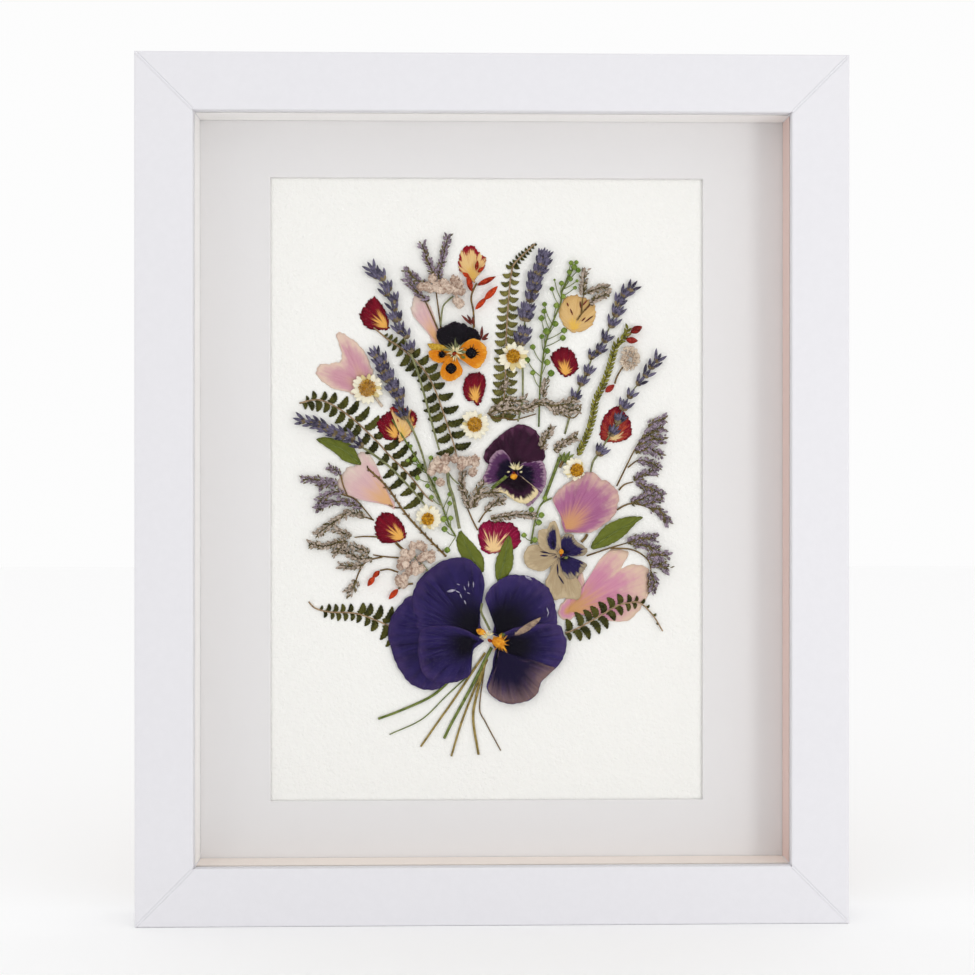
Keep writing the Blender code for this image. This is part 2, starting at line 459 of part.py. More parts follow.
def to_mesh_object(item, collection):
    """Turn a curve object into a mesh object with welded caps, in the same place."""
    bpy.context.scene.collection.objects.link(item)
    bpy.context.view_layer.update()
    evaluated = item.evaluated_get(bpy.context.evaluated_depsgraph_get())
    mesh = bpy.data.meshes.new_from_object(evaluated)
    shape = bmesh.new()
    shape.from_mesh(mesh)
    bmesh.ops.remove_doubles(shape, verts=shape.verts, dist=0.01 * MM)
    bmesh.ops.recalc_face_normals(shape, faces=shape.faces)
    shape.to_mesh(mesh)
    shape.free()
    solid = bpy.data.objects.new(item.name, mesh)
    solid.matrix_world = item.matrix_world
    name = item.name
    bpy.data.objects.remove(item, do_unlink=True)
    solid.name = name
    collection.objects.link(solid)
    return solid


def cut(item, cutter):
    """Cut one object with another by an exact Boolean that stays on the object."""
    boolean = item.modifiers.new("cut", "BOOLEAN")
    boolean.operation = "DIFFERENCE"
    boolean.object = cutter
    boolean.solver = "EXACT"


def round_edges(item, radius):
    """Round an object's sharp edges."""
    bevel = item.modifiers.new("edges", "BEVEL")
    bevel.width = radius * MM
    bevel.segments = 2
    bevel.limit_method = "ANGLE"
    bevel.angle_limit = math.radians(40)


def rail_outlines():
    """Give each rail's four-cornered front outline: mitred at 45 degrees, half a gap off the mitre."""
    half_width, half_height = OUTER_WIDTH / 2, OUTER_HEIGHT / 2
    sight_x, sight_z = SIGHT_WIDTH / 2, SIGHT_HEIGHT / 2
    ease = GAP / 2 * math.sqrt(2)  # a mitre moved back by half a gap shifts its ends along the rail
    top = [
        (-half_width + ease, half_height), (half_width - ease, half_height),
        (sight_x - ease, sight_z), (-sight_x + ease, sight_z),
    ]
    right = [
        (half_width, half_height - ease), (half_width, -half_height + ease),
        (sight_x, -sight_z + ease), (sight_x, sight_z - ease),
    ]
    return {
        "rail_top": top,
        "rail_bottom": [(x, -z) for x, z in top],
        "rail_right": right,
        "rail_left": [(-x, z) for x, z in right],
    }


def build_rails(parts, cutters, materials):
    """Make the four mitred rails, with the rebate cut behind their lips."""
    cutter = box(
        "rebate_cutter",
        (-REBATE_OPENING_WIDTH / 2, FRONT + LIP_THICKNESS, MIDDLE_HEIGHT - REBATE_OPENING_HEIGHT / 2),
        (REBATE_OPENING_WIDTH / 2, BACK + 1.0, MIDDLE_HEIGHT + REBATE_OPENING_HEIGHT / 2),
        cutters,
    )
    hide_cutter(cutter)
    for name, outline in rail_outlines().items():
        points = [(x, z + MIDDLE_HEIGHT) for x, z in outline]
        rail = to_mesh_object(flat_curve(name, points, DEPTH, FRONT, smooth=False), parts)
        rail.data.materials.append(materials["painted_wood"])
        cut(rail, cutter)
        round_edges(rail, RAIL_EDGE_RADIUS)


def hide_cutter(cutter):
    """Keep a cutter out of renders and show it as wires."""
    cutter.hide_render = True
    cutter.display_type = "WIRE"


def sheet(name, width, height, front, thickness, shift, parts, material):
    """Make an upright flat sheet centred on the window's height."""
    low = (shift - width / 2, front, MIDDLE_HEIGHT - height / 2)
    high = (shift + width / 2, front + thickness, MIDDLE_HEIGHT + height / 2)
    return box(name, low, high, parts, material)


def build_spacers(parts, material):
    """Make the four strips that keep the glazing off the mat: the long ones run full height."""
    inner_x = SIGHT_WIDTH / 2 + SPACER_SETBACK
    inner_z = SIGHT_HEIGHT / 2 + SPACER_SETBACK
    outer_x = SHEET_WIDTH / 2
    outer_z = SHEET_HEIGHT / 2
    back = SPACER_FRONT + SPACER_DEPTH
    for name, side in (("spacer_left", -1), ("spacer_right", 1)):
        edges = sorted((side * inner_x, side * outer_x))
        low = (edges[0], SPACER_FRONT, MIDDLE_HEIGHT - outer_z)
        high = (edges[1], back, MIDDLE_HEIGHT + outer_z)
        box(name, low, high, parts, material)
    reach = inner_x - GAP
    for name, side in (("spacer_bottom", -1), ("spacer_top", 1)):
        edges = sorted((side * inner_z, side * outer_z))
        low = (-reach, SPACER_FRONT, MIDDLE_HEIGHT + edges[0])
        high = (reach, back, MIDDLE_HEIGHT + edges[1])
        box(name, low, high, parts, material)


def build_mat(parts, cutters, material):
    """Make the mat board and cut its window with a bevel that widens towards the front."""
    mat = sheet(
        "window_mat", SHEET_WIDTH, SHEET_HEIGHT, MAT_FRONT, MAT_THICKNESS, 0.0, parts, material
    )
    cutter = sheet(
        "window_cutter", WINDOW_WIDTH, WINDOW_HEIGHT, MAT_FRONT - MAT_THICKNESS, 3 * MAT_THICKNESS,
        WINDOW_SHIFT, cutters, None,
    )
    hide_cutter(cutter)
    # The bevel's slope carried on past both faces of the mat: from the back face it gains
    # WINDOW_BEVEL over one thickness, so the cutter gains it three times over its own depth.
    for vertex in cutter.data.vertices:
        steps = 2 if vertex.co.y < 0 else -1
        vertex.co.x += math.copysign(WINDOW_BEVEL * steps * MM, vertex.co.x)
        vertex.co.z += math.copysign(WINDOW_BEVEL * steps * MM, vertex.co.z)
    cut(mat, cutter)


def build_tabs(parts, material):
    """Make the four round-ended steel tabs that hold the backing board in the rebate."""
    half = TAB_WIDTH / 2
    straight = TAB_REACH - half
    arc = [
        (half * math.cos(angle), straight + half * math.sin(angle))
        for angle in np.linspace(0.0, math.pi, 9)
    ]
    shape = [(-half, 0.0), (half, 0.0), *arc[:-1], (-half, straight)]
    wall_x = REBATE_OPENING_WIDTH / 2 - GAP
    wall_z = REBATE_OPENING_HEIGHT / 2 - GAP
    places = {
        "tab_bottom": (0.0, -wall_z, 0.0),
        "tab_right": (wall_x, 0.0, 90.0),
        "tab_top": (0.0, wall_z, 180.0),
        "tab_left": (-wall_x, 0.0, 270.0),
    }
    for name, (x, z, turn) in places.items():
        cosine, sine = math.cos(math.radians(turn)), math.sin(math.radians(turn))
        points = [
            (x + u * cosine - v * sine, MIDDLE_HEIGHT + z + u * sine + v * cosine)
            for u, v in shape
        ]
        tab = flat_curve(name, points, TAB_THICKNESS, TAB_FRONT, smooth=False)
        tab.data.materials.append(material)
        parts.objects.link(tab)


def layer_front(layer):
    """Give where the front face of a layer of specimens is; ON_PAPER is next to the paper."""
    return PAPER_FRONT - GAP - SPECIMEN_THICKNESS - layer * LAYER_PITCH


def on_paper(points):
    """Move points measured from the window's middle to the frame's own axes."""
    return [(x + WINDOW_SHIFT, z + MIDDLE_HEIGHT) for x, z in points]


def build_outline(specimen, parts, materials):
    """Make a petal, leaf, flower or bushy sprig as a thin plate with its own outline."""
    item = flat_curve(
        specimen.name, on_paper(specimen.points), SPECIMEN_THICKNESS,
        layer_front(specimen.layer), specimen.smooth,
    )
    item.data.materials.append(materials[specimen.finish])
    parts.objects.link(item)


def along(values, position):
    """Read a row of values at a place between them, by a Catmull-Rom curve."""
    last = len(values) - 1
    start = np.clip(np.floor(position).astype(int), 0, last - 1)
    t = (position - start)[:, None]
    before = values[np.clip(start - 1, 0, last)]
    here, there = values[start], values[start + 1]
    after = values[np.clip(start + 2, 0, last)]
    slope_in, slope_out = (there - before) / 2, (after - here) / 2
    rise = there - here
    return here + t * (slope_in + t * (3 * rise - 2 * slope_in - slope_out
                                       + t * (slope_in + slope_out - 2 * rise)))


def sprig_outline(stations):
    """Give the outline of a strip: points to both sides of its middle line, then the other way."""
    rows = along(np.array(stations), np.linspace(0.0, len(stations) - 1, SPRIG_STEPS))
    middle, half_width = rows[:, :2], rows[:, 2:]
    direction = np.gradient(middle, axis=0)
    direction /= np.linalg.norm(direction, axis=1, keepdims=True)
    side = np.stack((-direction[:, 1], direction[:, 0]), axis=1) * half_width
    return np.concatenate((middle + side, (middle - side)[::-1])).tolist()


def build_sprig(specimen, parts, materials):
    """Make a fern frond or a lavender stem as a thin tapering strip."""
    item = flat_curve(
        specimen.name, on_paper(sprig_outline(specimen.stations)), SPECIMEN_THICKNESS,
        layer_front(specimen.layer), smooth=False,
    )
    item.data.materials.append(materials[specimen.finish])
    parts.objects.link(item)


def build_daisy(specimen, parts, material):
    """Make a flower head as a turned shape: a thin disc of rays with a round boss in front."""
    thickness = SPECIMEN_THICKNESS
    boss, reach = specimen.boss_radius, specimen.reach
    profile = [
        (0.0, thickness + DAISY_BOSS_HEIGHT), (boss * 0.7, thickness + DAISY_BOSS_HEIGHT * 0.8),
        (boss, thickness), (reach, thickness), (reach, 0.0), (0.0, 0.0),
    ]
    mesh = bpy.data.meshes.new(specimen.name)
    mesh.from_pydata(
        [(radius * MM, 0.0, height * MM) for radius, height in profile],
        [(index, index + 1) for index in range(len(profile) - 1)], [],
    )
    mesh.materials.append(material)
    item = bpy.data.objects.new(specimen.name, mesh)
    (place,) = on_paper([specimen.centre])
    back = layer_front(specimen.layer) + thickness
    item.location = (place[0] * MM, back * MM, place[1] * MM)
    item.rotation_euler = (math.pi / 2, 0.0, 0.0)
    screw = item.modifiers.new("turn", "SCREW")
    screw.axis = "Z"
    screw.steps = DAISY_STEPS
    screw.render_steps = DAISY_STEPS
    screw.use_merge_vertices = True
    screw.merge_threshold = 0.01 * MM
    screw.use_smooth_shade = False
    parts.objects.link(item)


def main():
    """Build the frame, then what it holds, from the front to the back."""
    clear_scene()
    parts = new_collection("pressed_flower_frame")
    cutters = new_collection("cutters")
    materials = {name: make_material(name, finish) for name, finish in FINISHES.items()}
    build_rails(parts, cutters, materials)
    sheet("glazing_pane", SHEET_WIDTH, SHEET_HEIGHT, GLAZING_FRONT, GLAZING_THICKNESS, 0.0,
          parts, materials["clear_glass"])
    build_spacers(parts, materials["spacer_card"])
    build_mat(parts, cutters, materials["mat_card"])
    sheet("art_paper", PAPER_WIDTH, PAPER_HEIGHT, PAPER_FRONT, PAPER_THICKNESS, WINDOW_SHIFT,
          parts, materials["art_paper"])
    sheet("backing_board", SHEET_WIDTH, SHEET_HEIGHT, BOARD_FRONT, BOARD_THICKNESS, 0.0,
          parts, materials["fibreboard"])
    build_tabs(parts, materials["tab_steel"])
    for specimen in OUTLINES:
        build_outline(specimen, parts, materials)
    for specimen in SPRIGS:
        build_sprig(specimen, parts, materials)
    for specimen in DAISIES:
        build_daisy(specimen, parts, materials["daisy_head"])


main()
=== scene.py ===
"""Looks for the pressed flower box frame.

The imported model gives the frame, the pane, the mat and the paper. This script dresses those and
puts a finely shaped specimen in place of each plain solid. Flowers are measured in millimetres
from the middle of the mat window, x to the right and z up, and lie a small height off the paper.
"""

import json
import logging
import math
from dataclasses import dataclass, field
from enum import Enum

import bpy
import numpy as np
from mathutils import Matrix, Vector

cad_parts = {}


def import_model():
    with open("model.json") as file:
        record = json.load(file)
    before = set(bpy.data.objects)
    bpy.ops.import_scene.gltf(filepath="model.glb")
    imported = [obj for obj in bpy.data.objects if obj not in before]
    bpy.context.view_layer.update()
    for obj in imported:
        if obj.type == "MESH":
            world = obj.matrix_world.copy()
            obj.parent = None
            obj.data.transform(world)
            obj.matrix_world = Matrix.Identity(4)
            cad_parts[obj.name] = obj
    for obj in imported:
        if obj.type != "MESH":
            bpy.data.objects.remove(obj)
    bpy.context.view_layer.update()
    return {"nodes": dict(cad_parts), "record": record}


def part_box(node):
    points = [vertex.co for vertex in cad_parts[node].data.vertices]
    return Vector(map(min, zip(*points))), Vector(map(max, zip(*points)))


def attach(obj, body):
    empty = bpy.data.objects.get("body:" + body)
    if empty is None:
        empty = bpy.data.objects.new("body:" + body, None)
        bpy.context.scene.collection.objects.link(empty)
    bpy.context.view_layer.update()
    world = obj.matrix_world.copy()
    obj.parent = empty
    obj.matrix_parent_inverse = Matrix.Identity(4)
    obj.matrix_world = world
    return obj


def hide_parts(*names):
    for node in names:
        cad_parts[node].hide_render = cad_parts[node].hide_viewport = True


MM = 0.001
LOG = logging.getLogger("pressed_flower_frame")
SEED = 20
GRAIN = "grain"  # the point attribute that patterns follow
TINY = 1e-6  # the least length that is divided by, in millimetres
STEM_FLATNESS = 0.7  # thickness of a stem as a share of its width
STEM_TINT = 0.5  # the pattern value that picks a stem's shade
FLORET = 1.9  # length of a statice floret, in millimetres
Point = tuple[float, float]
Colour = tuple[float, float, float]


def rgb(red: int, green: int, blue: int) -> Colour:
    """Turn a display colour of 0 to 255 a channel into the linear one that shaders take."""
    parts = []
    for value in (red, green, blue):
        part = value / 255
        parts.append(part / 12.92 if part <= 0.04045 else ((part + 0.055) / 1.055) ** 2.4)
    return parts[0], parts[1], parts[2]


class Height(Enum):
    """How far a specimen lies off the paper, in millimetres: what was glued first lies lowest."""

    PAPER = 0.35
    LOW = 0.95
    MIDDLE = 1.55
    HIGH = 2.15
    TOP = 2.8


class Value:
    """One output socket, with arithmetic that adds Math nodes."""

    def __init__(self, shader: "Shader", socket: bpy.types.NodeSocket) -> None:
        """Wrap a socket of a shader's tree."""
        self.shader = shader
        self.socket = socket

    def math(self, operation: str, *others: "Value | float") -> "Value":
        """Add a Math node that starts from this value.

        Args:
            operation: the Math node's operation.
            others: its other operands.

        Returns:
            The result.
        """
        return self.shader.node("ShaderNodeMath", {"operation": operation}, (self, *others))

    def __add__(self, other: "Value | float") -> "Value":
        """Add."""
        return self.math("ADD", other)

    def __sub__(self, other: "Value | float") -> "Value":
        """Subtract."""
        return self.math("SUBTRACT", other)

    def __mul__(self, other: "Value | float") -> "Value":
        """Multiply."""
        return self.math("MULTIPLY", other)

    def ramp(self, start: float, end: float) -> "Value":
        """Give a soft step from 0 at start to 1 at end; start may lie above end.

        Args:
            start: where the step is 0.
            end: where the step is 1.

        Returns:
            The step, between 0 and 1.
        """
        settings = {"interpolation_type": "SMOOTHSTEP"}
        if start < end:
            return self.shader.node("ShaderNodeMapRange", settings, (self, start, end, 0.0, 1.0))
        return self.shader.node("ShaderNodeMapRange", settings, (self, end, start, 1.0, 0.0))


class Shader:
    """One Principled material and the nodes that feed it."""

    def __init__(self, name: str, roughness: float, metallic: float = 0.0, shine: float = 0.08) -> None:
        """Make a material with one value each for roughness, metal and specular shine."""
        self.material = bpy.data.materials.new(name)
        self.material.use_nodes = True
        self.tree = self.material.node_tree
        self.surface = self.tree.nodes["Principled BSDF"]
        self.surface.inputs["Roughness"].default_value = roughness
        self.surface.inputs["Metallic"].default_value = metallic
        self.surface.inputs["Specular IOR Level"].default_value = shine

    def node(self, kind: str, settings: dict, inputs: tuple, output: int | str = 0) -> Value:
        """Add a node.

        Args:
            kind: its type.
            settings: its own settings, which are set before its sockets.
            inputs: values or links for its first sockets, in order.
            output: which of its outputs to give.

        Returns:
            The output.
        """
        made = self.tree.nodes.new(kind)
        for key, setting in settings.items():
            setattr(made, key, setting)
        for socket, value in zip(made.inputs, inputs):
            if isinstance(value, Value):
                self.tree.links.new(value.socket, socket)
            elif value is not None:
                socket.default_value = value
        return Value(self, made.outputs[output])

    def grain(self) -> Value:
        """Give the pattern attribute of the piece."""
        return self.node("ShaderNodeAttribute", {"attribute_name": GRAIN}, (), "Vector")

    def place(self) -> Value:
        """Give the place on the object, in metres."""
        return self.node("ShaderNodeTexCoord", {}, (), "Object")

    def axis(self, vector: Value, index: int) -> Value:
        """Give one component of a vector."""
        return self.node("ShaderNodeSeparateXYZ", {}, (vector,), index)

    def stretch(self, vector: Value, factors: tuple[float, float, float]) -> Value:
        """Multiply a vector by three factors."""
        settings = {"operation": "MULTIPLY"}
        return self.node("ShaderNodeVectorMath", settings, (vector, factors))

    def noise(self, vector: Value, scale: float, detail: float) -> Value:
        """Give a cloudy value about 0.5."""
        return self.node("ShaderNodeTexNoise", {}, (vector, None, scale, detail, 0.6))

    def mix(self, factor: Value, first: Value | Colour, second: Value | Colour) -> Value:
        """Mix two colours.

        Args:
            factor: 0 for the first colour and 1 for the second.
            first: a colour.
            second: another colour.

        Returns:
            The mixed colour.
        """
        made = self.tree.nodes.new("ShaderNodeMix")
        made.data_type = "RGBA"
        self.tree.links.new(factor.socket, made.inputs[0])
        for socket, colour in ((made.inputs[6], first), (made.inputs[7], second)):
            if isinstance(colour, Value):
                self.tree.links.new(colour.socket, socket)
            else:
                socket.default_value = (*colour, 1.0)
        return Value(self, made.outputs[2])

    def colour(self, colour: Value | Colour) -> None:
        """Set or link the base colour."""
        if isinstance(colour, Value):
            self.tree.links.new(colour.socket, self.surface.inputs["Base Color"])
        else:
            self.surface.inputs["Base Color"].default_value = (*colour, 1.0)

    def relief(self, height: Value, depth: float, strength: float) -> None:
        """Bump the surface.

        Args:
            height: the relief, between 0 and 1.
            depth: what 1 stands for, in metres.
            strength: how much of the bump is used.
        """
        made = self.tree.nodes.new("ShaderNodeBump")
        made.inputs["Strength"].default_value = strength
        made.inputs["Distance"].default_value = depth
        self.tree.links.new(height.socket, made.inputs["Height"])
        self.tree.links.new(made.outputs["Normal"], self.surface.inputs["Normal"])


@dataclass(frozen=True)
class PetalFinish:
    """A petal: heart at its base, veins that fan out, a body and a rim.

    heart_reach and rim_start are shares of the way from the base to the rim. ragged says how far
    the streaks push those borders in and out.
    """

    name: str
    body: Colour
    vein: Colour
    heart: Colour
    rim: Colour
    heart_reach: float = 0.25
    rim_start: float = 0.9
    ragged: float = 0.3
    vein_count: float = 5.0
    vein_share: float = 0.6
    soft: float = 0.07

    def make(self) -> bpy.types.Material:
        """Make the material."""
        shader = Shader(self.name, 0.78)
        grain = shader.grain()
        reach = shader.axis(grain, 2)
        count = self.vein_count
        streaks = shader.noise(shader.stretch(grain, (count, count, 0.55)), 1.7, 3.0)
        fine = shader.noise(shader.stretch(grain, (count * 3.2, count * 3.2, 0.8)), 2.0, 2.0)
        clouds = shader.noise(shader.place(), 330.0, 3.0)
        veins = (streaks * 0.6 + fine * 0.4).ramp(0.42, 0.62) * self.vein_share
        body, vein, heart_colour, rim_colour = (
            rgb(*colour) for colour in (self.body, self.vein, self.heart, self.rim))
        colour = shader.mix(veins, body, vein)
        pale = tuple(0.8 * part + 0.2 * part ** 0.5 for part in body)
        colour = shader.mix(clouds.ramp(0.52, 0.85) * 0.35, colour, pale)
        push = (streaks - 0.5) * (2.0 * self.ragged)
        border = reach + push
        rim = (border + (clouds - 0.5) * 0.35).ramp(self.rim_start - self.soft, self.rim_start + self.soft)
        colour = shader.mix(rim, colour, rim_colour)
        heart = border.ramp(self.heart_reach + 1.3 * self.soft, self.heart_reach - self.soft)
        colour = shader.mix(heart, colour, heart_colour)
        shader.colour(colour)
        shader.relief(streaks * 0.5 + fine * 0.3 + clouds * 0.4, 0.00025, 0.6)
        return shader.material


@dataclass(frozen=True)
class DryFinish:
    """A dry plant part: two colours in clouds, with a tint that changes from bit to bit."""

    name: str
    dark: Colour
    light: Colour
    scale: float = 420.0
    roughness: float = 0.8

    def make(self) -> bpy.types.Material:
        """Make the material."""
        shader = Shader(self.name, self.roughness)
        clouds = shader.noise(shader.place(), self.scale, 3.0)
        tint = shader.axis(shader.grain(), 1)
        share = (clouds.ramp(0.32, 0.68) * 0.6 + tint * 0.5).ramp(0.05, 1.0)
        shader.colour(shader.mix(share, rgb(*self.dark), rgb(*self.light)))
        shader.relief(clouds, 0.0004, 0.6)
        return shader.material


@dataclass(frozen=True)
class SheetFinish:
    """A flat made surface: one colour and a relief of two sizes of grain."""

    name: str
    colour: Colour
    roughness: float
    coarse: float
    fine: float
    depth: float
    metallic: float = 0.0

    def make(self) -> bpy.types.Material:
        """Make the material."""
        shader = Shader(self.name, self.roughness, self.metallic, 0.3)
        coarse = shader.noise(shader.place(), self.coarse, 2.0)
        fine = shader.noise(shader.place(), self.fine, 3.0)
        colour = rgb(*self.colour)
        shade = tuple(part * 0.975 for part in colour)
        shader.colour(shader.mix(coarse.ramp(0.7, 0.35) * 0.5, colour, shade))
        shader.relief(coarse * 0.65 + fine * 0.35, self.depth, 1.0)
        return shader.material


@dataclass(frozen=True)
class PaneFinish:
    """The glazing: see-through, smooth, with a weak reflection."""

    name: str
    cover: float

    def make(self) -> bpy.types.Material:
        """Make the material, with its cover as a constant alpha."""
        shader = Shader(self.name, 0.03, 0.0, 0.5)
        shader.colour((0.03, 0.04, 0.035))
        shader.surface.inputs["Alpha"].default_value = self.cover
        return shader.material


class Finish(Enum):
    """Every finish of the frame and of what is pressed in it, in display colours of 0 to 255."""

    PAINT = SheetFinish("painted_wood", (222, 221, 225), 0.5, 260.0, 1500.0, 0.00006)
    PANE = PaneFinish("clear_glass", 0.02)
    SPACER = SheetFinish("spacer_card", (250, 248, 246), 0.8, 500.0, 2500.0, 0.00004)
    # Right spacer wall: the spacer card darkened and warmed, painted shade on the inner wall that faces away
    # from the light
    SPACER_PAINTED_SHADE = SheetFinish("spacer_card_painted_shade", (232, 206, 198), 0.8, 500.0, 2500.0, 0.00004)
    # Bottom spacer wall: the spacer card a little darker and warmer, painted soft shade on the inner wall
    # that faces up
    SPACER_PAINTED_SOFT_SHADE = SheetFinish("spacer_card_painted_soft_shade", (248, 238, 230), 0.8, 500.0, 2500.0, 0.00004)
    MAT = SheetFinish("mat_card", (229, 227, 227), 0.9, 700.0, 3000.0, 0.00005)
    PAPER = SheetFinish("art_paper", (246, 245, 241), 0.95, 560.0, 1500.0, 0.0007)
    BOARD = SheetFinish("fibreboard", (158, 128, 96), 0.85, 600.0, 3000.0, 0.0001)
    STEEL = SheetFinish("tab_steel", (176, 176, 180), 0.35, 400.0, 2500.0, 0.00002, 1.0)

    INDIGO = PetalFinish(
        "indigo_petal", (43, 33, 84), (22, 15, 46), (10, 7, 20), (70, 54, 100),
        0.4, 0.97, 0.16, 8.0, 0.9, 0.2)
    INDIGO_DEEP = PetalFinish(
        "indigo_petal_dark_heart", (48, 37, 92), (20, 14, 44), (9, 6, 18), (76, 60, 106),
        0.56, 0.97, 0.3, 9.0, 0.85, 0.24)
    INDIGO_BROWN = PetalFinish(
        "indigo_petal_brown_edge", (120, 96, 96), (62, 46, 88), (22, 15, 44), (132, 106, 100),
        0.76, 0.97, 0.3, 9.0, 0.9, 0.24)
    PLUM = PetalFinish(
        "plum_petal", (54, 22, 44), (30, 11, 26), (24, 9, 20), (84, 46, 70), 0.3, 0.95, 0.25, 6.0, 0.75)
    PLUM_SIDE = PetalFinish(
        "plum_side_petal", (86, 48, 88), (46, 20, 50), (18, 10, 32), (158, 128, 148),
        0.6, 0.9, 0.3, 8.0, 0.6)
    PLUM_LIP = PetalFinish(
        "plum_lip_petal", (52, 20, 44), (26, 9, 24), (22, 8, 20), (222, 204, 160), 0.6, 0.86, 0.22, 8.0, 0.6)
    BLACK = PetalFinish(
        "black_petal", (20, 15, 22), (10, 8, 12), (12, 9, 14), (40, 30, 40), 0.2, 0.97, 0.2, 5.0, 0.7)
    ORANGE_BLOTCH = PetalFinish(
        "orange_petal_blotched", (214, 130, 26), (190, 98, 14), (120, 86, 30), (226, 158, 56),
        0.22, 0.94, 0.3, 9.0, 0.5)
    NAVY = PetalFinish(
        "navy_petal", (42, 33, 78), (20, 15, 44), (20, 14, 36), (150, 136, 112), 0.3, 0.86, 0.3, 7.0, 0.7)
    BEIGE_BLOTCH = PetalFinish(
        "beige_petal_streaked", (178, 158, 126), (152, 128, 96), (60, 48, 66), (190, 170, 138),
        0.14, 0.9, 0.5, 9.0, 0.5)
    PINK = PetalFinish(
        "pink_petal", (204, 154, 164), (182, 118, 140), (206, 168, 130), (222, 196, 178),
        0.2, 0.8, 0.3, 9.0, 0.6, 0.24)
    PINK_DEEP = PetalFinish(
        "deep_pink_petal", (204, 142, 164), (184, 108, 142), (200, 150, 98), (218, 190, 168),
        0.3, 0.82, 0.3, 9.0, 0.6, 0.24)
    PALE = PetalFinish(
        "pale_petal", (214, 178, 178), (196, 152, 160), (216, 168, 120), (222, 204, 190),
        0.36, 0.88, 0.25, 9.0, 0.5, 0.24)
    LILAC = PetalFinish(
        "lilac_petal", (170, 106, 142), (140, 78, 118), (204, 150, 104), (208, 174, 160),
        0.3, 0.86, 0.26, 8.0, 0.6, 0.22)
    CRIMSON = PetalFinish(
        "crimson_rose_petal", (122, 14, 34), (76, 7, 24), (230, 172, 86), (88, 10, 26),
        0.36, 0.9, 0.5, 5.0, 0.65, 0.13)
    CREAM = PetalFinish(
        "cream_rose_petal", (226, 192, 132), (208, 148, 92), (224, 182, 96), (142, 22, 36),
        0.3, 0.88, 0.6, 5.0, 0.6)
    ORANGE = PetalFinish(
        "tan_rose_petal", (216, 180, 122), (198, 154, 92), (226, 182, 84), (204, 164, 104),
        0.25, 0.92, 0.4, 5.0, 0.6)
    STRIPED = PetalFinish(
        "striped_rose_petal", (124, 18, 36), (196, 92, 56), (236, 206, 150), (110, 14, 32),
        0.3, 0.9, 0.7, 5.0, 0.7)
    MAGENTA = PetalFinish(
        "magenta_rose_petal", (146, 20, 62), (100, 12, 42), (232, 196, 142), (110, 14, 46),
        0.42, 0.9, 0.9, 7.0, 0.7, 0.1)
    RAY = PetalFinish(
        "daisy_ray", (240, 234, 212), (224, 212, 178), (214, 196, 140), (238, 230, 206),
        0.2, 0.93, 0.2, 4.0, 0.5)
    BOSS = DryFinish("daisy_boss", (140, 88, 14), (222, 168, 48), 900.0)

    LEAF = PetalFinish(
        "leaf_green", (106, 114, 44), (82, 92, 32), (96, 104, 40), (92, 98, 40), 0.1, 0.93, 0.15, 9.0, 0.6)
    FERN = DryFinish("fern_dark_green", (38, 39, 15), (80, 78, 32), 380.0)
    FERN_OLIVE = DryFinish("fern_olive_green", (74, 72, 34), (122, 116, 62), 380.0)
    SCALE_GREEN = DryFinish("scale_leaf_green", (82, 82, 26), (142, 138, 58), 500.0)
    LAVENDER = DryFinish("lavender_bud", (48, 44, 58), (112, 106, 130), 700.0)
    LAVENDER_OLIVE = DryFinish("lavender_calyx", (82, 68, 48), (138, 122, 92), 700.0)
    STALK = DryFinish("grey_green_stalk", (96, 102, 66), (146, 146, 106), 500.0)
    STALK_GREEN = DryFinish("green_stalk", (78, 92, 40), (124, 134, 72), 500.0)
    STALK_BROWN = DryFinish("brown_stalk", (80, 62, 34), (130, 104, 62), 500.0)
    STALK_TAN = DryFinish("tan_rachis", (124, 100, 74), (178, 152, 120), 500.0)
    WORN = DryFinish("worn_spot", (112, 106, 134), (196, 192, 206), 900.0)
    CALYX = DryFinish("red_brown_calyx", (70, 28, 26), (128, 58, 46), 700.0)
    STATICE_LILAC = DryFinish("statice_lilac", (94, 80, 88), (160, 144, 160), 800.0)
    STATICE_BEIGE = DryFinish("statice_beige", (124, 110, 94), (190, 174, 160), 800.0)
    STATICE_OLIVE = DryFinish("statice_calyx", (70, 62, 38), (120, 106, 70), 800.0)
    POD = DryFinish("pod_green", (84, 110, 40), (138, 156, 74), 700.0)
    BALL = DryFinish("ball_floret", (150, 122, 106), (224, 204, 186), 900.0)
    RED_BUD = DryFinish("red_bud", (92, 22, 22), (164, 52, 42), 700.0)
    ORANGE_BUD = DryFinish("orange_bud", (116, 28, 16), (200, 68, 32), 700.0)
    TORN = DryFinish("torn_streak", (98, 80, 80), (176, 152, 126), 900.0)
    YELLOW_STRIP = DryFinish("yellow_green_strip", (168, 128, 30), (214, 178, 72), 900.0)
    STALK_OLIVE = DryFinish("olive_tan_stalk", (112, 96, 48), (164, 144, 86), 500.0)
    THROAT = DryFinish("flower_throat", (196, 112, 24), (236, 172, 52), 900.0)
    THROAT_BROWN = DryFinish("flower_throat_brown", (110, 32, 14), (156, 60, 22), 900.0)
    WHISKER = DryFinish("flower_whiskers", (206, 190, 134), (236, 226, 184), 900.0)
    PAPERY = DryFinish("papery_floret", (164, 142, 122), (216, 200, 180), 700.0)

    def make(self) -> bpy.types.Material:
        """Give this finish's material, made the first time it is asked for."""
        made = bpy.data.materials.get(self.value.name + "_finish")
        if made is None:
            made = self.value.make()
            made.name = self.value.name + "_finish"
        return made


@dataclass
class Patch:
    """A stretch of surface: points (x, z, height) in millimetres, faces and the pattern value."""

    points: np.ndarray
    faces: list
    grain: np.ndarray


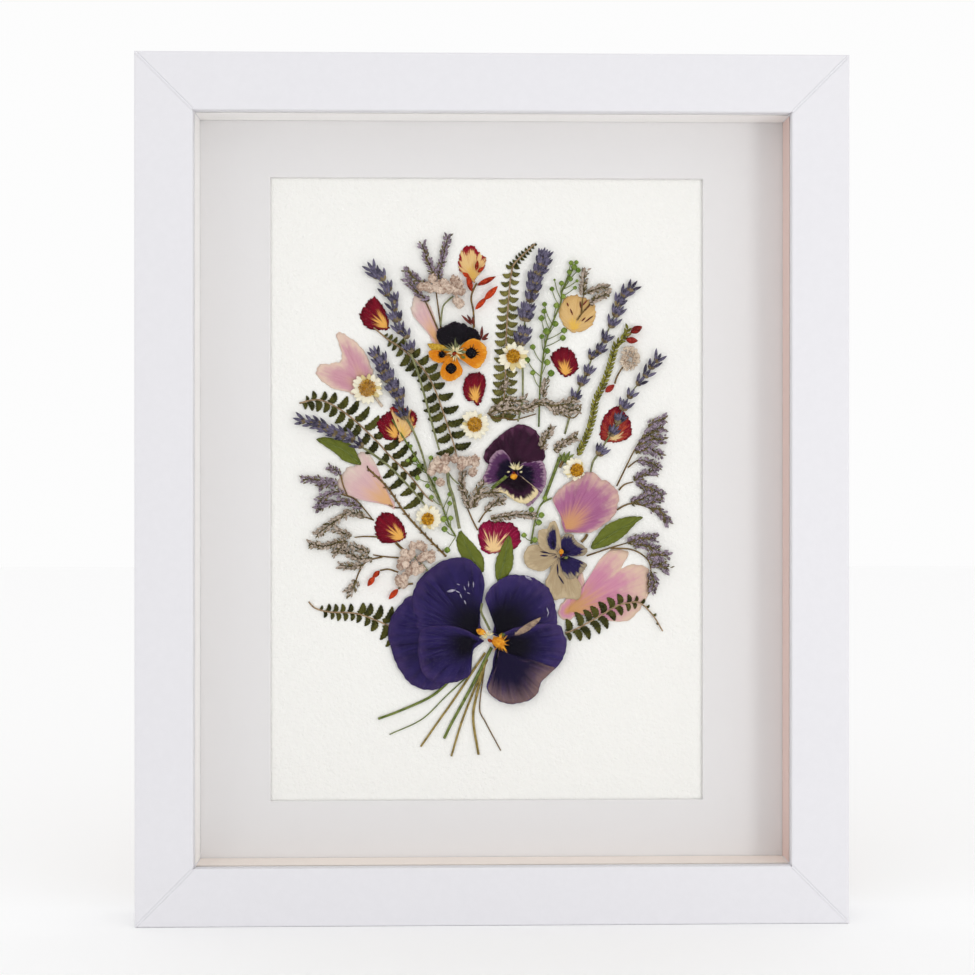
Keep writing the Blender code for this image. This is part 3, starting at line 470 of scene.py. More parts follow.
def smooth_curve(points: list[Point], count: int, closed: bool) -> np.ndarray:
    """Carry a Catmull-Rom curve through points, with stations evenly spaced along it.

    Args:
        points: what the curve runs through.
        count: how many stations.
        closed: whether it comes back to its start.

    Returns:
        The stations, count by 2.
    """
    knots = np.array(points, float)
    if closed:
        knots = np.vstack((knots[-1:], knots, knots[:2]))
    else:
        knots = np.vstack((2 * knots[0] - knots[1], knots, 2 * knots[-1] - knots[-2]))
    t = np.linspace(0.0, 1.0, 8, endpoint=False)[None, :, None]
    a, b, c, d = (knots[i:len(knots) - 3 + i][:, None] for i in range(4))
    dense = 0.5 * (2 * b + (c - a) * t + (2 * a - 5 * b + 4 * c - d) * t**2
                   + (3 * b - a - 3 * c + d) * t**3)
    dense = np.vstack((dense.reshape(-1, 2), knots[-2]))
    gone = np.concatenate(([0.0], np.cumsum(np.linalg.norm(np.diff(dense, axis=0), axis=1))))
    wanted = np.linspace(0.0, gone[-1], count, endpoint=not closed)
    return np.stack([np.interp(wanted, gone, dense[:, axis]) for axis in (0, 1)], axis=1)


def net(rows: int, columns: int, closed: bool, first: int = 0) -> np.ndarray:
    """Give the four-sided faces of a grid of points stored row by row.

    Args:
        rows: how many rows of points.
        columns: how many points in a row.
        closed: whether the last column joins the first.
        first: the number of the first point.

    Returns:
        The faces, each as four point numbers.
    """
    row = np.arange(rows - 1)[:, None] * columns
    column = np.arange(columns if closed else columns - 1)[None, :]
    after = (column + 1) % columns
    corners = (row + column, row + after, row + columns + after, row + columns + column)
    return np.stack([np.broadcast_to(c, corners[0].shape).ravel() for c in corners], 1) + first


def bearings(angles: np.ndarray) -> np.ndarray:
    """Give the unit direction at each angle in radians."""
    return np.stack((np.cos(angles), np.sin(angles)), axis=1)


def crosswise(ahead: np.ndarray) -> np.ndarray:
    """Give the unit directions a quarter turn to the left of plane directions."""
    length = np.maximum(np.linalg.norm(ahead, axis=1, keepdims=True), TINY)
    return np.stack((-ahead[:, 1], ahead[:, 0]), axis=1) / length


def caps(rings: int, sides: int) -> np.ndarray:
    """Close a tube of points with a fan at each end; its two poles come after the rings.

    Args:
        rings: how many rings of points.
        sides: how many points in a ring.

    Returns:
        The faces, each as three point numbers.
    """
    ring, total = np.arange(sides), rings * sides
    after, last = (ring + 1) % sides, total - sides
    start = np.stack((np.full(sides, total), after, ring), axis=1)
    end = np.stack((np.full(sides, total + 1), ring + last, after + last), axis=1)
    return np.vstack((start, end))


def petal(outline: list[Point], base: Point, height: float, crown: float, ruffle: float,
          seed: int, nicks: float = 0.11) -> Patch:
    """Shape a petal: each point lies a share r of the way from its base to its outline.

    The height is that of its layer, plus crown * 4 r (1 - r), plus waves that grow with r squared
    and run round the rim.

    Args:
        outline: the rim, in order.
        base: where the veins start.
        height: of its layer.
        crown: how much its middle stands up.
        ruffle: how much its rim waves.
        seed: which waves.
        nicks: how far the rim wavers in and out, in millimetres.

    Returns:
        The petal, with the vein's direction and r as its pattern value.
    """
    around, out = 132, 15
    rim = smooth_curve(outline, around, True)
    following = np.roll(rim, -1, axis=0)
    if np.sum(rim[:, 0] * following[:, 1] - rim[:, 1] * following[:, 0]) < 0:
        rim = rim[::-1]
    share = (np.arange(1, out + 1) / out)[:, None]
    origin = np.array(base)
    random = np.random.default_rng(SEED + seed)
    turn = np.linspace(0.0, 2 * math.pi, around, endpoint=False)[None]
    waver = sum(np.sin(turn * k + random.uniform(0, 6)) * random.uniform(0.4, 1) for k in (11, 17, 25, 37))
    outward = (rim - origin) / np.linalg.norm(rim - origin, axis=1, keepdims=True)
    rim = rim + outward * nicks * waver.T
    flat = origin + share[:, :, None] * (rim - origin)[None]
    angle = np.arctan2(rim[:, 1] - base[1], rim[:, 0] - base[0])[None]
    waves = sum(np.sin(turn * k + random.uniform(0, 6)) * random.uniform(0.3, 1) for k in (3, 5, 8, 13))
    lift = height + crown * 4 * share * (1 - share) + ruffle * share**2 * waves
    points = np.concatenate((flat, lift[:, :, None]), axis=2).reshape(-1, 3)
    grain = np.stack([np.broadcast_to(part, lift.shape) for part in
                      (np.cos(angle), np.sin(angle), share)], axis=2).reshape(-1, 3)
    points = np.vstack(((*base, height), points))
    grain = np.vstack(((0.0, 0.0, 0.0), grain))
    ring = np.arange(around)
    fan = np.stack((np.zeros(around, int), ring + 1, (ring + 1) % around + 1), axis=1)
    return Patch(points, fan.tolist() + net(out, around, True, 1)[:, ::-1].tolist(), grain)


def tube(path: list[Point], width: float, height: float, taper: float = 1.0) -> Patch:
    """Carry an oval profile along a smooth path, closed with a point at each end.

    Args:
        path: its middle line.
        width: at its start.
        height: of its underside's layer.
        taper: its width at the end as a share of the start's.

    Returns:
        The tube.
    """
    sides, count = 6, max(6, 5 * len(path))
    line = smooth_curve(path, count, False)
    across = crosswise(np.gradient(line, axis=0))
    radius = np.linspace(1.0, taper, count) * width / 2
    turn = np.linspace(0.0, 2 * math.pi, sides, endpoint=False)
    flat = line[:, None] + across[:, None] * (np.cos(turn)[None, :, None] * radius[:, None, None])
    lift = height + radius[:, None] * STEM_FLATNESS * (1 + np.sin(turn)[None])
    points = np.concatenate((flat, lift[:, :, None]), axis=2).reshape(-1, 3)
    ends = [(*line[i], height + radius[i] * STEM_FLATNESS) for i in (0, -1)]
    points = np.vstack((points, ends))
    faces = caps(count, sides).tolist() + net(count, sides, True).tolist()
    return Patch(points, faces, np.full(points.shape, STEM_TINT))


def beads(roots: np.ndarray, tips: np.ndarray, widths: np.ndarray | float, height: float,
          flatten: float = 0.6, point: float = 0.0, seed: int = 0) -> Patch:
    """Set an oval bead from each root to each tip; its radius along t is a power of sin(pi t).

    Args:
        roots: one end of each bead.
        tips: the other end of each bead.
        widths: of each bead, or of all.
        height: of the layer.
        flatten: thickness as a share of width.
        point: how much the bead is drawn to a point at its tip.
        seed: for the shades.

    Returns:
        All beads in one patch, each with its own shade.
    """
    roots, tips = np.atleast_2d(roots).astype(float), np.atleast_2d(tips).astype(float)
    widths = np.broadcast_to(widths, len(roots)).astype(float)
    rings, sides, count = 5, 6, len(roots)
    t = (np.arange(rings) + 0.6) / (rings + 0.2)
    profile = np.sin(math.pi * t) ** 0.75 * (1 - point * t)
    turn = np.linspace(0.0, 2 * math.pi, sides, endpoint=False)
    ahead = tips - roots
    across = crosswise(ahead)
    radius = profile[None, :, None] * widths[:, None, None] / 2
    middle = roots[:, None] + t[None, :, None] * ahead[:, None]
    flat = middle[:, :, None] + across[:, None, None] * (radius * np.cos(turn)[None, None])[..., None]
    random = np.random.default_rng(SEED + seed)
    rise = height + random.uniform(0.0, 0.5, count)
    thick = widths[:, None, None] * flatten / 2
    lift = rise[:, None, None] + thick + radius * flatten * np.sin(turn)[None, None]
    body = np.concatenate((flat, lift[..., None]), axis=3).reshape(count, rings * sides, 3)
    level = (rise + widths * flatten / 2)[:, None]
    poles = np.stack((np.hstack((roots, level)), np.hstack((tips, level))), axis=1)
    points = np.concatenate((body, poles), axis=1)
    each = rings * sides + 2
    step = (np.arange(count) * each)[:, None, None]
    faces = (caps(rings, sides)[None] + step).reshape(-1, 3).tolist()
    faces += (net(rings, sides, True)[None] + step).reshape(-1, 4).tolist()
    shade = np.repeat(random.uniform(0.0, 1.0, count), each)
    return Patch(points.reshape(-1, 3), faces, np.stack((shade, shade, shade), axis=1))


def blades(roots: np.ndarray, tips: np.ndarray, widths: np.ndarray, height: float,
           bend: np.ndarray, seed: int, ear: float = 0.0) -> Patch:
    """Lay a flat leaflet from each root to each tip.

    Its half width along t is a power of sin(pi t), with small teeth, and its middle line bows
    sideways by bend * t (1 - t). The ear widens one side near the root.

    Args:
        roots: where the leaflets are attached.
        tips: where they end.
        widths: at the widest.
        height: of the layer.
        bend: the sideways bow, signed, one for each leaflet.
        seed: for shades and small differences.
        ear: how much wider the side away from the bend is near the root.

    Returns:
        All leaflets in one patch.
    """
    roots, tips = np.atleast_2d(roots).astype(float), np.atleast_2d(tips).astype(float)
    count, rows, columns = len(roots), 15, 5
    widths = np.broadcast_to(widths, count).astype(float)
    bend = np.broadcast_to(bend, count).astype(float)
    random = np.random.default_rng(SEED + seed)
    ahead = tips - roots
    across = crosswise(ahead)
    t = np.linspace(0.02, 0.985, rows)
    side = np.linspace(-1.0, 1.0, columns)
    profile = np.sin(math.pi * t ** 0.75) ** 0.6 * (1 + 0.19 * np.cos(t * 34))
    bow = bend[:, None] * (t * (1 - t))[None] * 4
    favour = -np.sign(bend)[:, None, None] * side[None, None]
    lobes = 1 + ear * np.exp(-((t - 0.12) / 0.12) ** 2)[None, :, None] * np.maximum(favour, 0)
    reach = widths[:, None, None] / 2 * profile[None, :, None] * side[None, None] * lobes
    middle = roots[:, None] + t[None, :, None] * ahead[:, None]
    flat = middle[:, :, None] + across[:, None, None] * (bow[:, :, None] + reach)[..., None]
    rise = height + random.uniform(0.0, 0.25, count)
    lift = np.broadcast_to(rise[:, None, None] + 0.16 * (1 - side[None, None] ** 2), reach.shape)
    points = np.concatenate((flat, lift[..., None]), axis=3).reshape(-1, 3)
    step = (np.arange(count) * rows * columns)[:, None, None]
    faces = (net(rows, columns, False)[None, :, ::-1] + step).reshape(-1, 4).tolist()
    shade = np.repeat(random.uniform(0.0, 1.0, count), rows * columns)
    return Patch(points, faces, np.stack((shade, shade, shade), axis=1))


@dataclass
class Paper:
    """Where the flowers lie: the middle of the window and the front of the paper, in metres.

    slots gives the record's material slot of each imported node.
    """

    middle_x: float
    front_y: float
    middle_z: float
    slots: dict[str, str]

    @classmethod
    def found(cls, record: dict) -> "Paper":
        """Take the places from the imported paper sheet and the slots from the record."""
        low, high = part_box("art_paper")
        slots = {row["node"]: row["material_slot"] for row in record["subparts"]}
        return cls((low[0] + high[0]) / 2, low[1], (low[2] + high[2]) / 2, slots)


@dataclass
class Specimen:
    """One visible piece: patches, each with its finish, that become one mesh."""

    name: str
    paper: Paper
    replaces: tuple[str, ...] = ()
    wall: float = 0.0
    parts: list = field(default_factory=list)

    def add(self, patch: Patch, finish: Finish) -> None:
        """Put a patch on the piece."""
        self.parts.append((patch, finish))

    def build(self) -> bpy.types.Object:
        """Join the patches, place them in front of the paper and let them ride on the frame.

        Returns:
            The finished object.
        """
        points = np.vstack([patch.points for patch, _ in self.parts])
        place = np.stack((self.paper.middle_x + points[:, 0] * MM,
                          self.paper.front_y - points[:, 2] * MM,
                          self.paper.middle_z + points[:, 1] * MM), axis=1)
        faces, slots, finishes, first = [], [], [], 0
        for patch, finish in self.parts:
            if finish not in finishes:
                finishes.append(finish)
            faces += [[index + first for index in face] for face in patch.faces]
            slots += [finishes.index(finish)] * len(patch.faces)
            first += len(patch.points)
        mesh = bpy.data.meshes.new(self.name)
        mesh.from_pydata(place.tolist(), [], faces)
        for finish in finishes:
            mesh.materials.append(finish.make())
        mesh.polygons.foreach_set("material_index", slots)
        mesh.polygons.foreach_set("use_smooth", [True] * len(faces))
        grain = mesh.attributes.new(GRAIN, "FLOAT_VECTOR", "POINT")
        grain.data.foreach_set("vector", np.vstack([p.grain for p, _ in self.parts]).ravel())
        mesh.update()
        piece = bpy.data.objects.new(self.name, mesh)
        bpy.context.scene.collection.objects.link(piece)
        if self.wall:
            solidify = piece.modifiers.new("wall", "SOLIDIFY")
            solidify.thickness = self.wall * MM
            solidify.offset = -1.0
        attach(piece, "root")
        if self.replaces:
            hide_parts(*self.replaces)
        LOG.info("%s: %d faces", self.name, len(faces))
        return piece


def rows_of(values: list[tuple]) -> np.ndarray:
    """Turn a list of tuples into an array."""
    return np.array(values, float)


def along_path(path: list[Point], count: int, start: float = 0.0) -> tuple[np.ndarray, np.ndarray]:
    """Give places along a path and the path's direction there.

    Args:
        path: the points it runs through.
        count: how many places.
        start: the share of the path to leave free at its start.

    Returns:
        The places and the unit directions.
    """
    dense = smooth_curve(path, 200, False)
    ahead = np.gradient(dense, axis=0)
    ahead /= np.linalg.norm(ahead, axis=1, keepdims=True)
    picked = np.linspace(start * 199, 199, count).astype(int)
    return dense[picked], ahead[picked]


def turned(directions: np.ndarray, angles: np.ndarray) -> np.ndarray:
    """Turn plane directions counter-clockwise by angles in radians."""
    cosine, sine = np.cos(angles), np.sin(angles)
    return np.stack((directions[:, 0] * cosine - directions[:, 1] * sine,
                     directions[:, 0] * sine + directions[:, 1] * cosine), axis=1)


def florets(path: list[Point], width: float, height: float, seed: int,
            density: float) -> tuple[Patch, Patch]:
    """Crowd small florets round a twig, in two sets: papery ones and narrower calyces.

    Args:
        path: the twig, from its foot to its tip.
        width: how broad the spike of florets is.
        height: of the layer.
        seed: for the places.
        density: florets to a millimetre of twig.

    Returns:
        The papery florets and the calyces.
    """
    random = np.random.default_rng(SEED + seed)
    reach = np.linalg.norm(np.diff(rows_of(path), axis=0), axis=1).sum()
    both = []
    for share, slim in ((0.55, 1.0), (0.45, 0.6)):
        count = max(3, int(reach * density * share))
        places, ahead = along_path(path, count)
        side = random.choice((-1.0, 1.0), count)
        lean = side * random.uniform(0.25, 0.95, count)
        foot = places + turned(ahead, side * math.pi / 2) * (
            random.uniform(0.0, 0.32, count) * width)[:, None]
        size = FLORET * random.uniform(0.7, 1.2, count)
        tip = foot + turned(ahead, lean) * size[:, None]
        widths = slim * random.uniform(1.0, 1.6, count)
        both.append(beads(foot, tip, widths, height, 0.75, 0.45 * slim, seed))
    return both[0], both[1]


@dataclass
class CasedFrame:
    """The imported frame, pane, mat, paper, board and tabs, which keep their shapes."""

    finishes: dict[str, Finish] = field(default_factory=lambda: {
        "rail": Finish.PAINT, "glazing": Finish.PANE, "spacer": Finish.SPACER,
        # The right and bottom spacers take darker copies of the spacer card: painted shade on those inner
        # walls
        "spacer_right": Finish.SPACER_PAINTED_SHADE, "spacer_bottom": Finish.SPACER_PAINTED_SOFT_SHADE,
        "window": Finish.MAT, "art": Finish.PAPER, "backing": Finish.BOARD,
        "tab": Finish.STEEL})

    def dress(self, nodes: dict[str, bpy.types.Object]) -> None:
        """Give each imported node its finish, by its name or the first word of it.

        Args:
            nodes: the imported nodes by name.
        """
        for name, node in nodes.items():
            finish = self.finishes.get(name, self.finishes.get(name.split("_")[0]))
            if finish is None:
                continue
            material = finish.make()
            if not node.material_slots:
                node.data.materials.append(material)
            for place in node.material_slots:
                place.material = material


@dataclass
class MitreFill:
    """The paint that bridges the hairline at each mitre, a little below the face."""

    below: float = 0.02
    deep: float = 20.0
    thick: float = 0.8
    clear: float = 0.4

    def build(self) -> None:
        """Build one piece with a thin upright plate in each of the four mitres."""
        upper, lower, left, right_rail = (
            np.array(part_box("rail_" + side)) / MM for side in ("top", "bottom", "left", "right"))
        wide, tall, short = left[1, 0] - left[0, 0], upper[1, 2] - upper[0, 2], lower[1, 2] - lower[0, 2]
        front = upper[0, 1] + self.below
        points, faces = [], []
        corners = [(x, z, right, up) for z, up in ((upper[1, 2], -tall), (lower[0, 2], short))
                   for x, right in ((left[0, 0], wide), (right_rail[1, 0], -wide))]
        for x, z, right, up in corners:
            along = np.array((right, up))
            along /= np.linalg.norm(along)
            start = np.array((x, z)) + along * self.clear
            end = np.array((x + right, z + up)) - along * self.clear
            side = np.array((-along[1], along[0])) * self.thick / 2
            ring = [start - side, end - side, end + side, start + side]
            if right * up < 0:
                ring = ring[::-1]
            first = len(points)
            points += [(a, front, b) for a, b in ring] + [(a, front + self.deep, b) for a, b in ring]
            plate = ((0, 1, 2, 3), (7, 6, 5, 4), (4, 5, 1, 0), (5, 6, 2, 1), (6, 7, 3, 2), (7, 4, 0, 3))
            faces += [tuple(corner + first for corner in face) for face in plate]
        mesh = bpy.data.meshes.new("mitre_fill")
        mesh.from_pydata([tuple(value * MM for value in point) for point in points], [], faces)
        mesh.materials.append(Finish.PAINT.make())
        piece = bpy.data.objects.new("mitre_fill", mesh)
        bpy.context.scene.collection.objects.link(piece)
        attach(piece, "root")


@dataclass
class Flowers:
    """The four large flower heads, each a set of overlapping petals round a throat."""

    paper: Paper
    step: float = 0.3
    wall: float = 0.14
    crown: float = 0.4
    ruffle: float = 0.12
    hair: float = 0.45

    def head(self, name: str, height: Height, petals: list[tuple], throat: Point) -> Specimen:
        """Start a flower head.

        Args:
            name: of its node.
            height: of its lowest petal.
            petals: outline and finish of each, from the back to the front, and the petal's own
                base where it isn't the throat.
            throat: where the petals meet.

        Returns:
            The head, for its throat to be added.
        """
        made = Specimen(name + "_head", self.paper, (name,), self.wall)
        for index, (outline, finish, *own) in enumerate(petals):
            lift = height.value + index * self.step
            made.add(petal(outline, own[0] if own else throat, lift, self.crown, self.ruffle,
                           index + len(name)), finish)
        return made

    def whiskers(self, centre: Point, reach: float, count: int, height: float, spread: float,
                 facing: float) -> Patch:
        """Fan out the fine hairs of a throat.

        Args:
            centre: of the throat.
            reach: of the hairs.
            count: how many.
            height: of the layer.
            spread: the fan's whole angle, in radians.
            facing: the angle of the fan's middle.

        Returns:
            The hairs.
        """
        random = np.random.default_rng(SEED + count)
        ends = bearings(facing + random.uniform(-0.5, 0.5, count) * spread)
        sizes = reach * random.uniform(0.5, 1.0, count)[:, None]
        return beads(centre + ends * sizes * 0.2, centre + ends * sizes, self.hair, height, 0.7, 0.4,
                     count)

    def blob(self, start: Point, end: Point, width: float, height: float,
             flatten: float = 0.35) -> Patch:
        """Lay one soft oval between two points."""
        return beads(rows_of([start]), rows_of([end]), width, height, flatten)

    def indigo(self) -> None:
        """Build the large indigo pansy with its orange throat and worn spots."""
        throat = (1.0, -68.0)
        left_back = [
            (-10, -66), (-20, -50), (-34.4, -48.8), (-39.2, -52), (-44, -58.8), (-45.4, -66), (-43.5, -75),
            (-40, -83), (-34.5, -89.5), (-27, -92), (-20, -90), (-17, -82), (-12, -72)]
        left_top = [
            (-2.4, -67), (-3.2, -62), (-3.2, -56.8), (-2.4, -50.8), (-1.2, -43.6), (-2.8, -37.6),
            (-7.6, -32.4), (-12.8, -31.2), (-19.6, -32.4), (-27.2, -37.2), (-32.4, -43.2), (-34.4, -50),
            (-33, -60), (-30.5, -67), (-16, -69)]
        left_front = [
            (-2, -69), (-14, -63), (-29, -63.4), (-31.5, -70), (-31.5, -77), (-30, -83), (-25, -88),
            (-17, -88.7), (-8.5, -85.5), (-7, -79), (-7, -74.5), (-3, -70.5)]
        right_top = [
            (2.6, -66.5), (3.2, -62), (0.4, -54.4), (-0.8, -48.4), (4.8, -42), (11.2, -39.2), (18.8, -39.8),
            (24.4, -42.4), (29.2, -47.2), (31.4, -55), (32, -61), (28, -66), (14, -69)]
        right_low = [
            (3, -68.5), (14, -63), (26, -61.6), (33.2, -62.4), (35, -66), (36.4, -70.4), (34.6, -77.7),
            (29.9, -83.3), (24.8, -88.2), (22.9, -93.6), (18.3, -96.9), (9.9, -98.3), (2.4, -95),
            (-0.4, -89.9), (2.2, -84.3), (2.4, -79), (3.4, -73.5)]
        brown = [
            (5.6, -73.6), (12, -76), (18, -78.6), (22, -81.4), (25, -79.6), (28, -81.6), (30.8, -81.6),
            (29.7, -83.4), (24.6, -88.2), (22.7, -93.6), (18.2, -96.7), (9.9, -98.1), (2.5, -94.8),
            (0.2, -90.8), (2.2, -87), (4.4, -80)]
        made = self.head("pansy_indigo", Height.MIDDLE, [
            (left_back, Finish.INDIGO, (-14, -67)), (left_top, Finish.INDIGO, (-5, -66)),
            (right_top, Finish.INDIGO_DEEP, (4.6, -65.4)),
            (left_front, Finish.INDIGO, (-6.4, -69.6)),
            (right_low, Finish.INDIGO_DEEP, (5.4, -72)),
            (brown, Finish.INDIGO_BROWN, (6, -74))], throat)
        top = Height.MIDDLE.value + 7 * self.step
        torn = [(12.4, -67), (14.6, -64), (20, -60.4), (24.4, -58.8), (21.4, -62.6), (17, -65.6)]
        made.add(petal(torn, (13, -66.5), top, 0.1, 0.1, 3, 0.3), Finish.TORN)
        made.add(self.blob((1.5, -69), (8.4, -70.6), 5.0, top), Finish.THROAT)
        made.add(self.blob((-5.2, -64), (-0.4, -66.4), 3.2, top), Finish.THROAT)
        made.add(self.whiskers((0.4, -67.4), 3.8, 22, top + 0.6, 3.2, 2.0), Finish.WHISKER)
        made.add(self.whiskers((6, -70.4), 5.4, 40, top + 0.5, 6.0, 5.0), Finish.THROAT)
        made.add(self.blob((0, -68.4), (2.2, -69.6), 1.7, top + 0.9), Finish.THROAT_BROWN)
        made.add(self.blob((5, -66.8), (8.2, -66.2), 1.6, top), Finish.STALK_GREEN)
        stem = [(-2.4, -52), (-2.8, -56), (-0.4, -61.2), (1.2, -64.4)]
        made.add(tube(stem, 1.1, top - 0.4), Finish.STALK)
        spots = [((-18.5, -46.8), (-14.5, -46.0), 1.3), ((-14.5, -46.4), (-12.4, -47.4), 0.5),
                 ((-12.6, -47.6), (-11.6, -50), 0.45), ((-10.6, -50.6), (-9.8, -52.6), 0.5), ((27.2, -54),
                 (27.9, -56.4), 0.5), ((28.2, -56), (27.4, -58.4), 0.45), ((-14, -43.2), (-12.4, -43.8),
                 0.5), ((-10.8, -44), (-10, -46.4), 0.45), ((-8.6, -42), (-8.6, -45), 0.5), ((-6.4, -42),
                 (-6.4, -45), 0.5),
                 ((-9.4, -47.2), (-7.8, -47.8), 0.4), ((17, -39.4), (20.4, -41.6), 1.3)]
        for start, end, width in spots:
            made.add(self.blob(start, end, width, top - 0.95, 0.12), Finish.WORN)
        made.build()

    def plum(self) -> None:
        """Build the plum pansy with cream-edged side petals."""
        throat = (12.4, 7.0)
        back = [(0.4, 11.6), (-1.2, 17), (4, 23.2), (10.4, 28), (15.2, 29.8), (20.8, 28),
                (24.8, 23.2), (26.4, 18), (25.4, 12.8), (16, 7)]
        left = [(0.4, 10.8), (1.6, 14.8), (6, 18.2), (9.8, 15.2), (11, 11), (11, 7), (7.2, 5.2),
                (2.4, 2.8), (0, 2.4), (-2.2, 4.4), (-1.6, 6.4)]
        right = [(14.5, 10), (17.6, 12.6), (22.4, 13.2), (25.6, 12.4), (27.2, 7), (26.4, 1.2),
                 (22.4, -4.8), (18.4, -7.8), (16.4, -2), (14.6, 4)]
        lip = [(14.8, 6.2), (18, 4), (22.8, 0), (23, -2.4), (18.2, -6.4), (13.2, -5.6), (8, -2),
               (2.4, 0.2), (6, 3.4), (10, 6)]
        made = self.head("pansy_plum", Height.LOW, [
            (back, Finish.PLUM), (right, Finish.PLUM_SIDE), (left, Finish.PLUM_SIDE),
            (lip, Finish.PLUM_LIP)], throat)
        top = Height.LOW.value + 5 * self.step
        made.add(self.whiskers((13, 8.4), 5.0, 26, top, 2.2, 1.57), Finish.WHISKER)
        made.add(self.blob((10.4, 5.6), (13.8, 6.2), 3.0, top), Finish.THROAT)
        made.add(self.blob((11.4, 7.4), (12.8, 7.6), 1.2, top + 0.6), Finish.THROAT_BROWN)
        made.add(tube([(8.8, 6), (5.6, 3.4), (2, 0.4)], 1.5, top - 0.2), Finish.STALK_GREEN)
        knobs = rows_of([(14.7, 7.8), (8.9, 7.8)])
        made.add(beads(knobs, knobs + (1.4, 0.3), 0.9, top), Finish.WHISKER)
        made.build()

    def black(self) -> None:
        """Build the black and orange viola."""
        throat = (-15.0, 61.6)
        back_right = [(-12, 75.6), (-8.4, 74.4), (-5.2, 73.2), (-3.2, 70), (-3.4, 68), (-9, 66),
                      (-14, 64)]
        upper = [(-15.2, 76.8), (-19, 75), (-22.8, 72.8), (-23.2, 69.6), (-21.6, 66.6), (-17, 64),
                 (-12.4, 65), (-9.4, 69), (-9.6, 73.4), (-12, 75.8)]
        strip = [(-27.4, 66.4), (-23, 66.6), (-19, 65.2), (-19.6, 63), (-24, 62.8)]
        left = [(-26.4, 63.4), (-26, 59.8), (-22, 57.8), (-18.4, 58.8), (-16, 61.6), (-19.2, 63.4)]
        right = [(-12.6, 64.4), (-8.8, 68.2), (-5, 68.7), (-0.8, 65.4), (-0.4, 61), (-2.8, 56.6),
                 (-5.2, 55.2), (-8.6, 57), (-12, 60.4)]
        lip = [(-16.6, 61), (-20, 58.2), (-21.6, 53), (-19.6, 50), (-16, 49.5), (-12, 52.2),
               (-11.4, 55), (-13.6, 57.8), (-14.4, 60.6)]
        made = self.head("viola_black", Height.MIDDLE, [
            (back_right, Finish.BLACK), (upper, Finish.BLACK),
            (strip, Finish.YELLOW_STRIP), (left, Finish.ORANGE_BLOTCH),
            (right, Finish.ORANGE_BLOTCH), (lip, Finish.ORANGE_BLOTCH)], throat)
        top = Height.MIDDLE.value + 6.5 * self.step
        for spot, reach in (((-16.6, 55.2), 4.4), ((-7.4, 62.2), 4.4), ((-20.8, 61.6), 2.6)):
            made.add(self.whiskers(spot, reach, 28, top - 0.75, 6.28, 0.0), Finish.BLACK)
            below, above = (spot[0], spot[1] - reach * 0.6), (spot[0], spot[1] + reach * 0.6)
            made.add(self.blob(below, above, reach * 1.2, top - 0.95), Finish.BLACK)
        made.add(self.whiskers((-14.6, 63), 6.4, 40, top - 0.3, 3.3, 1.4), Finish.STALK)
        made.add(self.whiskers((-14.8, 62.4), 4.6, 30, top, 6.2, 1.5), Finish.WHISKER)
        made.add(self.blob((-16.2, 61.6), (-14.2, 62), 1.9, top + 0.5), Finish.THROAT_BROWN)
        made.add(self.blob((-17, 59.6), (-15, 59.2), 1.7, top), Finish.THROAT)
        made.add(self.blob((-12, 60.6), (-10, 60), 1.4, top), Finish.STALK_GREEN)
        made.build()

    def navy(self) -> None:
        """Build the navy and beige viola."""
        throat = (33.6, -29.4)
        left_up = [(23.6, -18.8), (27.2, -18), (28.8, -15.2), (31.2, -14.8), (33.2, -20.4),
                   (33.4, -27), (30, -29.4), (25, -27.4), (23.2, -24.4)]
        right_up = [(33.4, -23), (36.4, -20.4), (39.2, -20.8), (40.8, -23.6), (45.8, -27.4),
                    (44, -30.4), (38, -30.6), (34.6, -29)]
        left = [(20, -25.6), (24, -25.6), (30, -28.4), (32, -31), (29.2, -35), (24.8, -37.6),
                (18.4, -35.6), (16.6, -31), (18, -27.2)]
        right = [(34.4, -31.2), (40, -31.8), (45, -33.8), (45.4, -35.6), (42, -39.4), (37.2, -41.2),
                 (33.6, -36.4)]
        lip = [(31, -31.4), (34.6, -32.4), (37.6, -40.2), (42.6, -43), (43, -47.8), (41.4, -50.6),
               (35.2, -50), (30, -50.4), (26.6, -43.2), (28.4, -39), (29.6, -34)]
        made = self.head("viola_navy", Height.MIDDLE, [
            (lip, Finish.BEIGE_BLOTCH), (left, Finish.BEIGE_BLOTCH),
            (right, Finish.NAVY), (right_up, Finish.NAVY), (left_up, Finish.BEIGE_BLOTCH)],
            throat)
        top = Height.MIDDLE.value + 5.5 * self.step
        blotch = [(27.8, -19.4), (30.4, -16.4), (31.6, -21), (31.4, -27), (28.6, -27.4), (26.8, -23)]
        made.add(petal(blotch, (30.4, -26), top + 0.1, 0.1, 0.1, 8), Finish.NAVY)
        made.add(self.blob((33.8, -27.2), (33.8, -30), 2.3, top), Finish.THROAT)
        made.add(self.blob((33.3, -29.8), (34, -30.4), 1.1, top + 0.5), Finish.THROAT_BROWN)
        made.add(self.blob((35.2, -31.6), (37, -31), 1.3, top), Finish.STALK_GREEN)
        streaks = [((24, -28.5), (29, -29.4)), ((24, -30.3), (28, -30.5)), ((32, -34), (32.4, -39.2)),
                   ((32.4, -39.2), (35.2, -43.6))]
        for start, end in streaks:
            made.add(self.blob(start, end, 0.7, top - 0.9), Finish.NAVY)
        made.build()

    def build(self) -> None:
        """Build all four."""
        self.indigo()
        self.plum()
        self.black()
        self.navy()


